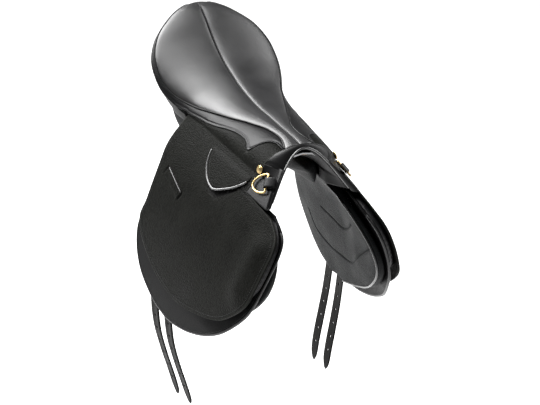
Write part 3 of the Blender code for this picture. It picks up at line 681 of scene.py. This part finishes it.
# ---------------------------------------------------------------- sweat flaps
# The under flap of smooth leather lies between panel and main flap, its edge bound with a strip.
SWEAT_ROWS = np.array([
    (-0.076, 0.0360, 0.222, 0.0360), (-0.076, 0.0000, 0.266, 0.0200), (-0.074, -0.0450, 0.282, -0.0040),
    (-0.074, -0.0900, 0.286, -0.0420), (-0.076, -0.1310, 0.284, -0.0780), (-0.071, -0.1600, 0.277, -0.1120),
    (-0.054, -0.1930, 0.259, -0.1460), (-0.028, -0.2190, 0.230, -0.1820), (0.014, -0.2410, 0.188, -0.2130),
    (0.045, -0.2490, 0.140, -0.2360), (0.070, -0.2520, 0.100, -0.2480)])


def outline_of(rows, count):
    """Round a layer's rear, lower and front edges in turn, as (x, z)."""
    rows = eased(rows, 200)
    return eased(np.concatenate([rows[::8, 0:2], rows[-1:, 0:2], rows[-1:, 2:4], rows[::-8, 2:4]]), count)


def moved_in(line, distance):
    """The outline moved inwards by a distance; it runs rear edge down, then front edge up."""
    step = np.gradient(line, axis=0)
    step /= np.linalg.norm(step, axis=1, keepdims=True)
    return line + np.stack([-step[:, 1], step[:, 0]], axis=1) * distance


sweat_leather = leather("sweat_flap_leather", (0.0060, 0.0060, 0.0064), 0.42, 0.0014, 0.00010, shine=0.05)
binding = leather("binding_leather", (0.010, 0.010, 0.0105), 0.34, 0.0011, 0.00006, coat=0.15, shine=0.40)
sweat_face = layer_grid(SWEAT_ROWS, 120, 110, sweat_y)
sweat_back = layer_grid(SWEAT_ROWS, 120, 110, lambda x, z: sweat_y(x, z) - SWEAT_THICK)
sweat_edge = outline_of(SWEAT_ROWS, 260)[6:-6]
sweat_hem = moved_in(sweat_edge, 0.0052)
for side, word in SIDES:
    finish_piece(skin("under_flap_" + word, sweat_face, sweat_back, side), "saddle", sweat_leather,
                 "sweat_flap_" + word)
    rim = [(x, float(sweat_y(x, z)) - SWEAT_THICK / 2, z) for x, z in moved_in(sweat_edge, 0.0012)]
    finish_piece(tube("under_flap_binding_" + word, rim, 0.0024, side), "saddle", binding)
    hem = [(x, float(sweat_y(x, z)) + 0.0002, z) for x, z in sweat_hem]
    stitches("under_flap_stitch_" + word, [mirrored(hem, side)], "saddle")

# ---------------------------------------------------------------- knee blocks
# A stuffed roll of soft leather behind the front edge of the main flap steadies the knee.
BLOCK_ROWS = np.array([
    (0.214, 0.0310, 0.238, 0.0310), (0.222, 0.0120, 0.268, 0.0140), (0.232, -0.0150, 0.279, -0.0120),
    (0.236, -0.0450, 0.282, -0.0430), (0.232, -0.0720, 0.278, -0.0710), (0.226, -0.0950, 0.264, -0.0930),
    (0.224, -0.1050, 0.244, -0.1030)])
FLAP_THICK = 0.0040
block_leather = leather("gathered_block_leather", (0.011, 0.011, 0.012), 0.34, 0.0018, 0.00035, coat=0.15)
block_out = layer_grid(BLOCK_ROWS, 70, 22, lambda x, z: flap_y(x, z) - FLAP_THICK - 0.0012)
block_in = layer_grid(BLOCK_ROWS, 70, 22, lambda x, z: sweat_y(x, z) + 0.0006)
pull = from_edges(block_out)
gathers = 0.5 + 0.5 * np.sin(block_out[:, :, 2] * 2 * math.pi / 0.0105 + 14 * block_out[:, :, 0])
sink = 0.0025 * np.exp(-pull / 0.004) + 0.0016 * gathers * np.exp(-pull / 0.010)
block_out = block_out - np.stack([0 * sink, sink, 0 * sink], axis=2)
for side, word in SIDES:
    block = skin("knee_roll_" + word, block_out, block_in, side, 0.30)
    finish_piece(block, "saddle", block_leather, "knee_block_" + word)

# ---------------------------------------------------------------- main flaps
# One cut of grained leather a side, from under the skirt over the fold to the hem, with a stitched hem, a
# shallow hollow for the stirrup leather under the tongue, painted dark as shade, and a keeper for the girth.
FLAP_TONE = (0.0080, 0.0084, 0.0068)
FLAP_ROWS = np.array([
    (-0.082, 0.0730, 0.150, 0.0730), (-0.083, 0.0450, 0.151, 0.0440), (-0.083, 0.0430, 0.236, 0.0400),
    (-0.081, 0.0180, 0.268, 0.0260), (-0.072, -0.0120, 0.283, 0.0050), (-0.066, -0.0450, 0.287, -0.0300),
    (-0.063, -0.0800, 0.287, -0.0620), (-0.066, -0.1120, 0.283, -0.0900), (-0.050, -0.1380, 0.265, -0.1180),
    (-0.020, -0.1600, 0.235, -0.1480), (0.020, -0.1800, 0.200, -0.1670), (0.060, -0.1910, 0.150, -0.1840),
    (0.090, -0.1940, 0.115, -0.1925)])
SKIRT_AT = np.array([(-0.082, 86), (-0.065, 84), (-0.030, 78.5), (0.000, 67), (0.020, 59), (0.040, 54),
                     (0.057, 52), (0.072, 52), (0.083, 55.5), (0.092, 63), (0.096, 66), (0.100, 61),
                     (0.104, 49), (0.108, 38), (0.114, 30), (0.127, 25.5), (0.149, 25.5)])
KEEPER = np.array([(-0.043, -0.005), (0.018, -0.024)])
KEEPER_WIDE = 0.0135
# The rolled edges and the arch piping get a pale grey base colour as a painted highlight, on top of their
# real gloss.
rolled = leather("rolled_edge_highlight_leather", (0.045, 0.045, 0.045), 0.24, 0.0010, 0.00003, coat=0.6, shine=0.8)
grained = leather("grained_flap_leather", FLAP_TONE, 0.46, 0.0022, 0.00045, shine=0.05)


def skirt_angle(x):
    return np.interp(x, SKIRT_AT[:, 0], SKIRT_AT[:, 1])


def pocket(x, z):
    """1 in the hollow below the tongue, where the stirrup leather comes out; the hollow is sunk into the face
    and painted dark as shade.
    """
    floor_z = np.interp(x, [0.050, 0.058, 0.067, 0.080, 0.097, 0.107, 0.120, 0.131, 0.137],
                        [0.0340, 0.0220, 0.0140, 0.0085, 0.0070, 0.0145, 0.0260, 0.0370, 0.0560])
    return (between(z, floor_z - 0.0008, floor_z + 0.0010) * between(x, 0.049, 0.052)
            * (1 - between(x, 0.136, 0.139)) * (1 - between(z, 0.052, 0.056)))


def keeper(x, z):
    """The keeper's raised strip and the slits at its ends, as two values from 0 to 1."""
    a, b = KEEPER
    length = np.linalg.norm(b - a)
    d = (b - a) / length
    wide = KEEPER_WIDE
    along = (x - a[0]) * d[0] + (z - a[1]) * d[1]
    down = (x - a[0]) * d[1] - (z - a[1]) * d[0]
    strip = (between(along, -0.0005, 0.0008) * (1 - between(along, length - 0.0008, length + 0.0005))
             * between(down, -0.0007, 0.0006) * (1 - between(down, wide - 0.0006, wide + 0.0007)))
    past = along - length
    ends = np.maximum(between(along, -0.0032, -0.0024) * (1 - between(along, -0.0004, 0.0004)),
                      between(past, -0.0004, 0.0004) * (1 - between(past, 0.0024, 0.0032)))
    return strip, ends * between(down, -0.0015, 0.0) * (1 - between(down, wide, wide + 0.0015))


def flap_face(x, z):
    """The flap's outer face: swollen over the knee block, hollow at the pocket, with the keeper."""
    swollen = (0.0050 * np.exp(-((x - 0.250) / 0.024) ** 2) * between(-z, -0.030, 0.000)
               * (1 - between(-z, 0.075, 0.125)))
    strip, ends = keeper(x, z)
    return flap_y(x, z) + swollen - 0.0026 * pocket(x, z) + 0.0009 * strip - 0.0020 * ends


flap_rows = eased(FLAP_ROWS[2:], 150)
upper = np.array([[-0.0825, z, 0.1505, z] for z in np.linspace(0.0725, 0.0455, 18)])
flap_rows = np.concatenate([upper, flap_rows])
t = np.linspace(0, 1, 200)[None, :]
flap_x = flap_rows[:, 0:1] + (flap_rows[:, 2:3] - flap_rows[:, 0:1]) * t
flap_z = flap_rows[:, 1:2] + (flap_rows[:, 3:4] - flap_rows[:, 1:2]) * t
HEAD_ROWS = 16
head_x = np.linspace(-0.0815, 0.150, 200)
head = []
for share in np.linspace(0, 1, HEAD_ROWS):
    row = []
    for x in head_x:
        top = float(skirt_angle(x)) - 2.2
        angle = top + (89.0 - top) * share
        inset = 0.0028 * math.exp(-((angle - top) / 6.5) ** 2)
        row.append(seat_point(x, angle, inset))
    head.append(row)
flap_out = np.concatenate([np.array(head), np.stack([flap_x, flap_face(flap_x, flap_z), flap_z], axis=2)])
flap_back = flap_out.copy()
flap_back[HEAD_ROWS:] = np.stack([flap_x, flap_y(flap_x, flap_z) - FLAP_THICK, flap_z], axis=2)
flap_back[:HEAD_ROWS] = np.array([[(p[0], p[1] - 0.0024, p[2] - 0.0006) for p in row] for row in head])
slits = keeper(flap_x, flap_z)[1]
hem_gap = from_edges(flap_out, "blr")
flap_edge = outline_of(FLAP_ROWS[2:], 300)[4:-4]
hem_line = moved_in(flap_edge, 0.0062)
for side, word in SIDES:
    flap = skin("flap_leather_" + word, flap_out, flap_back, side)
    low = np.zeros(flap_out.shape[:2])
    # The hollow below the tongue and the keeper's slits are painted near-black as shade.
    low[HEAD_ROWS:] = np.maximum(pocket(flap_x, flap_z), slits)
    mark(flap, "crease_shade", low.ravel())
    # A pale band along the flap's rear, lower and front edges is a painted highlight.
    mark(flap, "edge_highlight", (0.55 * np.exp(-(hem_gap / 0.0016) ** 2)).ravel())
    finish_piece(flap, None, grained, "flap_" + word, "flap_head_" + word)
    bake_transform(flap)
    hem = [(x, float(flap_face(x, z)) + 0.0002, z) for x, z in hem_line]
    stitches("flap_hem_stitch_" + word, [mirrored(hem, side)], "flap_" + word, 0.0034, 0.0024)
    top_edge = [KEEPER[0] + (KEEPER[1] - KEEPER[0]) * t for t in np.linspace(0.02, 0.98, 30)]
    edge = [(x, float(flap_y(x, z)) + 0.0009, z) for x, z in top_edge]
    # The keeper's top edge is a rolled bead painted pale as a highlight.
    finish_piece(tube("keeper_edge_" + word, edge, 0.0009, side), "flap_" + word, rolled)

# ---------------------------------------------------------------- stirrup-leather tongues
# A stitched tongue of the same leather covers the buckle at the slot, its edge turned and rolled.
TONGUE_ROWS = np.array([
    (0.021, 0.0660, 0.140, 0.0660), (0.027, 0.0525, 0.141, 0.0600), (0.038, 0.0385, 0.134, 0.0500),
    (0.054, 0.0270, 0.122, 0.0390), (0.070, 0.0210, 0.108, 0.0300), (0.084, 0.0190, 0.094, 0.0220)])


def tongue_face(x, z):
    lift = 0.0016 * np.exp(-((x - 0.086) / 0.030) ** 2) * between(0.050 - z, 0.0, 0.03)
    return flap_y(x, z) + 0.0038 + lift


tongue_out = layer_grid(TONGUE_ROWS, 60, 80, tongue_face)
tongue_back = layer_grid(TONGUE_ROWS, 60, 80, lambda x, z: tongue_face(x, z) - 0.0030)
tongue_gap = from_edges(tongue_out, "blr")
tongue_top = from_edges(tongue_out, "t")
settle = (0.0016 * np.exp(-tongue_gap / 0.0035) * between(tongue_top, 0.0, 0.010)
          + 0.0026 * np.exp(-(tongue_top / 0.006) ** 2))
tongue_out = tongue_out - np.stack([0 * settle, settle, 0 * settle], axis=2)
tongue_edge = outline_of(TONGUE_ROWS, 120)
for side, word in SIDES:
    body = "tongue_" + word
    tongue = skin("tongue_leather_" + word, tongue_out, tongue_back, side)
    finish_piece(tongue, body, grained, "flap_tongue_" + word)
    roll = [(x, float(tongue_face(x, z)) - 0.0014, z) for x, z in tongue_edge[5:-5]]
    # The tongue's rolled edge is painted pale as a highlight.
    finish_piece(tube("tongue_roll_" + word, roll, 0.0021, side), body, rolled)
    hem = [(x, float(tongue_face(x, z)) - 0.0003, z) for x, z in moved_in(tongue_edge, 0.0058)[10:-10]]
    stitches("tongue_stitch_" + word, [mirrored(hem, side)], body)

# ---------------------------------------------------------------- skirts
# A skirt of smooth leather is welted to the seat and covers the stirrup bar and the flap's head.
# Its lower edge climbs forward, dips to a rounded point and runs up from it in a short arc.
WELT_AT = np.array([(-0.266, 56), (-0.255, 66), (-0.24, 73), (-0.12, 76), (-0.09, 70), (-0.062, 64),
                    (-0.005, 43), (0.03, 31), (0.05, 25.5), (0.073, 17.5), (0.10, 14.5), (0.12, 15),
                    (0.14, 20), (0.149, 24)])
SEAT_X = stations_of(SEAT_BACK, SEAT_FRONT, 170)


def welt_angle(x):
    """The side welt's place round the seat, eased so that it runs without corners."""
    fine = np.linspace(SEAT_BACK, SEAT_FRONT, 300)
    raw = np.interp(fine, WELT_AT[:, 0], WELT_AT[:, 1])
    kernel = np.hanning(27) / np.hanning(27).sum()
    eased_raw = np.convolve(np.pad(raw, 13, mode="edge"), kernel, mode="valid")
    return np.interp(x, fine, eased_raw)


def skirt_low(x):
    rear = 96 - 12 * between(x, -0.12, -0.082)
    return np.where(x < -0.082, rear, skirt_angle(x))


welt_here = welt_angle(SEAT_X)
low_here = skirt_low(SEAT_X)
skirt_out = seat_grid(SEAT_X, welt_here + 0.3, low_here, 40, 0.0)
skirt_in = seat_grid(SEAT_X, welt_here + 0.3, low_here, 40, LEATHER)
top_gap = from_edges(skirt_out, "l")
low_gap = from_edges(skirt_out, "r")
press = 0.0022 * np.exp(-top_gap / 0.004) + 0.0009 * np.exp(-((low_gap - 0.004) / 0.0016) ** 2)
skirt_out = skirt_out - square_to(skirt_out) * np.sign(square_to(skirt_out)[:, :, 2:3]) * press[:, :, None]
skirt_leather = leather("skirt_leather", (0.0042, 0.0042, 0.0048), 0.40, 0.0013, 0.00010,
                        coat=0.04, shine=0.22)
for side, word in SIDES:
    skirt = skin("skirt_leather_" + word, skirt_out, skirt_in, side)
    # A pale band along the skirt's lower edge is a painted highlight.
    mark(skirt, "edge_highlight", (0.5 * np.exp(-(low_gap / 0.0012) ** 2)).ravel())
    finish_piece(skirt, "saddle", skirt_leather, "skirt_" + word)
    hem = [seat_point(x, a, 0.0006) for x, a in zip(SEAT_X[30:], low_here[30:] - 2.6)]
    stitches("skirt_stitch_" + word, [mirrored(hem, side)], "saddle")

# ---------------------------------------------------------------- seat halves and their welts
# Two halves of smooth leather are drawn down over the foam, seamed along the middle, and piped
# where they join the skirts.  The leather pulls in at each seam and swells between them.
seat_leather = leather("smooth_seat_leather", (0.0042, 0.0040, 0.0050), 0.40, 0.0014, 0.00010,
                       coat=0.30, shine=0.75)
seat_out = seat_grid(SEAT_X, 0 * SEAT_X + 0.25, welt_here - 0.3, 60, 0.0)
seat_in = seat_grid(SEAT_X, 0 * SEAT_X + 0.25, welt_here - 0.3, 60, 0.0027)
seat_gap = from_edges(seat_out, "lr")
outward = square_to(seat_out)
outward *= np.sign(outward[:, :, 2:3])
rear_gap = from_edges(seat_out, "t")
puff = 0.0022 * (1 - np.exp(-seat_gap / 0.014)) - 0.0020 * np.exp(-seat_gap / 0.0035)
puff = puff * between(rear_gap, 0.0, 0.030) - 0.0010 * (1 - between(rear_gap, 0.0, 0.012))
seat_out = seat_out + outward * puff[:, :, None]
for side, word in SIDES:
    half = skin("seat_half_" + word, seat_out, seat_in, side)
    # The seams at both edges of each half are painted dark as shade where the leather pulls in.
    mark(half, "crease_shade", (0.85 * np.exp(-(seat_gap / 0.0007) ** 2)).ravel())
    finish_piece(half, "saddle", seat_leather, "seat_leather_" + word)
    welt = [seat_point(x, a, 0.0008) for x, a in zip(SEAT_X, welt_here)]
    finish_piece(tube("seat_piping_" + word, welt, 0.0015, side), "saddle", smooth_black, "side_welt_" + word)
seam = [seat_point(x, 0, 0.0012) for x in SEAT_X]
finish_piece(tube("seat_middle_seam", seam, 0.0013), "saddle", smooth_black, "seat_welt")

# ---------------------------------------------------------------- cantle facing
# A deep strip of leather closes the back of the cantle under the seat's rim.
rim = []
for x in np.concatenate([np.linspace(-0.086, -0.22, 34), np.linspace(-0.222, -0.262, 30)]):
    crown, half_wide, edge_z = [float(v) for v in eased_table([x], SEAT)[:, 0]]
    rim.append((x, half_wide, edge_z))
rim += [(x, -y, z) for x, y, z in reversed(rim)]
rim = np.array(rim)
inward = np.stack([np.interp(rim[:, 0], [-0.262, -0.20, -0.086], [0.017, 0.012, 0.0]),
                   -np.sign(rim[:, 1]) * np.interp(rim[:, 0], [-0.262, -0.24, -0.15, -0.086],
                                                   [0.002, 0.012, 0.024, 0.006]),
                   np.zeros(len(rim))], axis=1)
fall = np.interp(rim[:, 0], [-0.262, -0.20, -0.14, -0.086], [0.058, 0.050, 0.034, 0.010])
facing = []
for t in np.linspace(0, 1, 14):
    drop = np.stack([np.zeros(len(rim)), np.zeros(len(rim)), -0.0035 - t * (fall + 0.004)], axis=1)
    facing.append(rim + inward * (0.12 + 0.98 * t) + drop)
facing = np.array(facing)
shrink = inward / np.linalg.norm(inward[:, :2], axis=1, keepdims=True) * LEATHER
finish_piece(skin("cantle_cover", facing, facing + shrink), "saddle", sweat_leather, "cantle_facing")

# ---------------------------------------------------------------- pommel
# A rolled band of soft leather rounds the front of the arch and ends in a piped edge painted pale grey as a
# highlight, and a smooth lining with a foot at each side closes the arch from below.


def arch_point(angle, inset=0.0):
    turn = math.radians(angle)
    return np.array([0.163 + 0.034 * (1 - math.cos(turn)), (0.066 - inset) * angle / 90,
                     0.0635 + 0.057 * math.cos(turn) - inset])


def two_legs(front, middle, back):
    """Points on the straight line to a middle point and on from there, eight to a leg."""
    line = [front + (middle - front) * t for t in np.linspace(0, 1, 8)]
    return line + [middle + (back - middle) * t for t in np.linspace(0, 1, 8)[1:]]


band = []
for a in np.linspace(-63, 63, 98):
    start, stop = np.array(seat_point(0.149, a)), arch_point(a) - [0.0020, 0, 0]
    tucked = 0.0010 * between(abs(a), 56, 60)
    band.append([start + (stop - start) * t + np.array([0, 0, 0.0040 * math.sin(math.pi * t) - tucked])
                 for t in np.linspace(0, 1, 14)])
band = np.array(band)
roll_leather = leather("pommel_roll_leather", (0.0042, 0.0042, 0.0046), 0.36, 0.0013, 0.00008,
                       coat=0.06, shine=0.22)
finish_piece(skin("pommel_roll", band, band - [0, 0, 0.0035]), "saddle", roll_leather, "pommel_band")
finish_piece(tube("arch_bead", [arch_point(a) for a in np.linspace(-104, 104, 150)], 0.0020, up=(1, 0, 0.2)),
             "saddle", rolled, "arch_piping")
under = []
for a in np.linspace(-88, 88, 90):
    turn = math.radians(a)
    front = arch_point(a) - [0.0022, 0.0022 * math.sin(turn), 0.0022 * math.cos(turn)]
    middle = np.array([0.147, 0.053 * a / 90, 0.0635 + 0.0415 * math.cos(turn)])
    back = np.array([0.124, 0.046 * a / 90, 0.0690 + 0.0170 * math.cos(turn)])
    under.append(two_legs(front, middle, back))
for sign in (-1, 1):
    foot_rows = []
    for share in np.linspace(0.1, 1, 10):
        angle = sign * (88 + 16 * share)
        front = arch_point(angle) - [0.0022, sign * 0.0022, 0]
        middle = np.array([0.1550, sign * (0.0525 + 0.0065 * share), 0.0650 - 0.0290 * share])
        back = np.array([0.1390, sign * (0.0480 + 0.0090 * share), 0.0690 - 0.0330 * share])
        foot_rows.append(two_legs(front, middle, back))
    under = under + foot_rows if sign > 0 else foot_rows[::-1] + under
under = np.array(under)
under_leather = leather("arch_lining_leather", (0.0030, 0.0030, 0.0032), 0.42, 0.0014, 0.00008, shine=0.06)
finish_piece(skin("arch_underlay", under, under - [0, 0, 0.0018]), "saddle", under_leather, "arch_lining")

# ---------------------------------------------------------------- point covers, D rings and studs
# The leather over the foot of the arch stays put when the flap lifts.  A brass D ring hangs on
# it in a short leather loop, with a plain stud above.
BRASS_TONE = (0.80, 0.58, 0.26)
brass = metal("polished_brass", BRASS_TONE, 0.20)
cover = []
for z in np.linspace(0.0458, 0.0945, 40):
    if z <= HINGE_Z:
        x_front = np.interp(z, [0.0455, HINGE_Z], [0.214, 0.1925])
    else:
        x_front = np.interp(z, [HINGE_Z, 0.096], [0.1925, 0.171])
    line = []
    for x in np.linspace(0.1522, x_front, 40):
        if z <= HINGE_Z:
            y = float(flap_y(x, z))
        else:
            rise = (z - HINGE_Z) / 0.047
            rear = 0.0742 * math.sqrt(1 - rise * rise)
            turn = math.degrees(math.acos((z - 0.0635) / 0.057))
            front = 0.066 * turn / 90 + 0.0060
            y = rear + (front - rear) * (x - 0.1525) / (x_front - 0.1525)
        line.append((x, y, z))
    last = np.array(line[-1])
    foot = arch_point(math.degrees(math.acos((z - 0.0635) / 0.057))) + np.array([-0.0004, 0.0012, 0])
    bulge = np.array([max(last[0], foot[0]) + 0.0050, 0.45 * last[1] + 0.55 * foot[1] + 0.0025, z])
    line += [(1 - t) ** 2 * last + 2 * t * (1 - t) * bulge + t * t * foot for t in np.linspace(0, 1, 14)[1:]]
    cover.append(line)
cover = np.array(cover)
cover_in = square_to(cover)
cover_in *= -np.sign(cover_in[:, :, 1:2])
RING_X, RING_Z = 0.170, HINGE_Z - 0.006
RING_TALL, RING_DEEP, RING_WIRE, RING_TURN = 0.034, 0.026, 0.0019, 35.0
STUD_ANGLE = 77


def face_frame(x, z, lift):
    """Origin, forward, down and outward on the flap's outer face, near side."""
    here = Vector((x, float(flap_y(x, z)), z))
    down = (Vector((x, float(flap_y(x, z - 0.002)), z - 0.002)) - here).normalized()
    forward = (Vector((x + 0.002, float(flap_y(x + 0.002, z)), z)) - here).normalized()
    outward = forward.cross(down).normalized()
    if outward.y < 0:
        outward = -outward
    square = forward.cross(outward)
    square = square if square.z < 0 else -square
    turn = math.radians(RING_TURN)
    ahead = forward * math.cos(turn) - square * math.sin(turn)
    return here + outward * lift, ahead, square * math.cos(turn) + forward * math.sin(turn), outward


for side, word in SIDES:
    finish_piece(skin("point_leather_" + word, cover, cover + cover_in * 0.0022, side), "saddle",
                 roll_leather, "point_cover_" + word)
    centre, forward, down, outward = face_frame(RING_X, RING_Z, 0.0042)
    straight = 0.009
    path = [centre + forward * (straight - RING_DEEP * math.cos(a)) + down * (RING_TALL / 2 * math.sin(a))
            for a in np.linspace(-math.pi / 2, math.pi / 2, 40)]
    ends_at = [(0.0016, 1.0), (0.0030, 0.93), (0.0036, 0.80), (0.0036, 0.30), (0.0036, -0.30),
               (0.0036, -0.80), (0.0030, -0.93), (0.0016, -1.0)]
    path += [centre + forward * (straight + f) + down * (RING_TALL / 2 * d) for f, d in ends_at]
    ring = tube("d_ring_wire_" + word, [np.array(p) for p in path], RING_WIRE, side, loop=True, count=14,
                up=tuple(outward))
    finish_piece(ring, "ring_" + word, brass, "d_ring_" + word)
    wire = centre + forward * (straight + 0.0036)
    hook = [(0.018, -0.0030), (0.006, -0.0032), (0.0, -0.0032)]
    hook += [(-0.0032 * math.sin(a), -0.0032 * math.cos(a)) for a in np.linspace(0.3, 2.8, 12)]
    hook += [(0.0, 0.0032), (0.006, 0.0030), (0.018, -0.0005)]
    strips = [[], []]
    for i, (a, b) in enumerate(hook):
        prior, later = hook[max(i - 1, 0)], hook[min(i + 1, len(hook) - 1)]
        step = Vector((later[0] - prior[0], later[1] - prior[1])).normalized()
        strips[0].append((a, b))
        strips[1].append((a - step.y * 0.0013, b + step.x * 0.0013))
    grids = [np.array([[np.array(wire + forward * a + outward * (b + 0.0009) + down * d)
                        for a, b in strip_points] for d in np.linspace(-0.0085, 0.0085, 9)])
             for strip_points in strips]
    finish_piece(skin("d_ring_loop_" + word, grids[1], grids[0], side), "saddle", smooth_black,
                 "d_ring_chape_" + word)
    base = Vector(seat_point(SEAT_FRONT, STUD_ANGLE))
    ahead = (Vector(seat_point(SEAT_FRONT - 0.002, STUD_ANGLE)) - base).normalized()
    lift = ahead.cross(Vector(seat_point(SEAT_FRONT, STUD_ANGLE + 2)) - base).normalized()
    if lift.y < 0:
        lift = -lift
    around = lift.cross(ahead)
    rings = []
    for high, r in ((0.0008, 0.0070), (0.0016, 0.0075), (0.0024, 0.0072), (0.0029, 0.0062),
                    (0.0027, 0.0054), (0.0033, 0.0042), (0.0037, 0.0022)):
        rings.append([np.array(base + lift * high + ahead * (r * math.cos(t)) + around * (r * math.sin(t)))
                      for t in np.linspace(0, 2 * math.pi, 33)[:-1]])
    cap = solid("stud_cap_" + word, np.concatenate(rings), loft_faces(len(rings), 32), side)
    finish_piece(cap, "saddle", brass, "pommel_stud_" + word)

# ---------------------------------------------------------------- floor, light and camera
# A plain white studio: pale floor well below, big soft lights above, and a long lens.
floor_look, shader, nodes, links = new_look("studio_floor")
shader.inputs["Base Color"].default_value = (0.95, 0.95, 0.95, 1)
shader.inputs["Roughness"].default_value = 0.9
shader.inputs["Emission Color"].default_value = (1, 1, 1, 1)
shader.inputs["Emission Strength"].default_value = 0.50
floor_mesh = bpy.data.meshes.new("studio_floor")
floor_mesh.from_pydata([(-9, -9, -0.9), (9, -9, -0.9), (9, 9, -0.9), (-9, 9, -0.9)], [], [(0, 1, 2, 3)])
floor = linked("studio_floor", floor_mesh)
floor.data.materials.append(floor_look)

world = bpy.data.worlds.new("studio")
bpy.context.scene.world = world
world.use_nodes = True
world.node_tree.nodes["Background"].inputs["Color"].default_value = (1, 1, 1, 1)
world.node_tree.nodes["Background"].inputs["Strength"].default_value = 0.20
for name, place, aim, size, power in (
        ("overhead_softbox", (-0.35, -0.20, 1.8), (-0.05, -0.05, 0.1), 1.2, 22),
        ("rear_softbox", (-1.45, -0.75, 1.30), (-0.05, -0.05, 0.1), 1.7, 110),
        ("near_side_softbox", (-0.1, 1.9, 1.2), (0.05, 0, 0), 1.2, 22),
        ("front_fill", (2.4, 0.2, 0.5), (0.1, 0, 0), 1.5, 3)):
    lamp = bpy.data.lights.new(name, "AREA")
    lamp.size = size
    lamp.energy = power
    item = linked(name, lamp)
    item.location = place
    item.rotation_euler = (Vector(aim) - Vector(place)).to_track_quat("-Z", "Y").to_euler()

bpy.context.scene.view_settings.view_transform = "Standard"
lens = bpy.data.cameras.new("camera")
lens.lens = 108.5
lens.sensor_width = 36
camera = bpy.data.objects.new("camera", lens)
azimuth, elevation, roll = (math.radians(v) for v in (-31.45, 31.70, 6.54))
back = Vector((math.cos(elevation) * math.cos(azimuth), math.cos(elevation) * math.sin(azimuth),
               math.sin(elevation)))
level = Vector((-math.sin(azimuth), math.cos(azimuth), 0))
upright = back.cross(level)
right = level * math.cos(roll) + upright * math.sin(roll)
up = upright * math.cos(roll) - level * math.sin(roll)
camera.matrix_world = Matrix(((right.x, up.x, back.x, 2.1877), (right.y, up.y, back.y, -1.2929),
                              (right.z, up.z, back.z, 1.4885), (0, 0, 0, 1)))
bpy.context.scene.collection.objects.link(camera)
bpy.context.scene.camera = camera
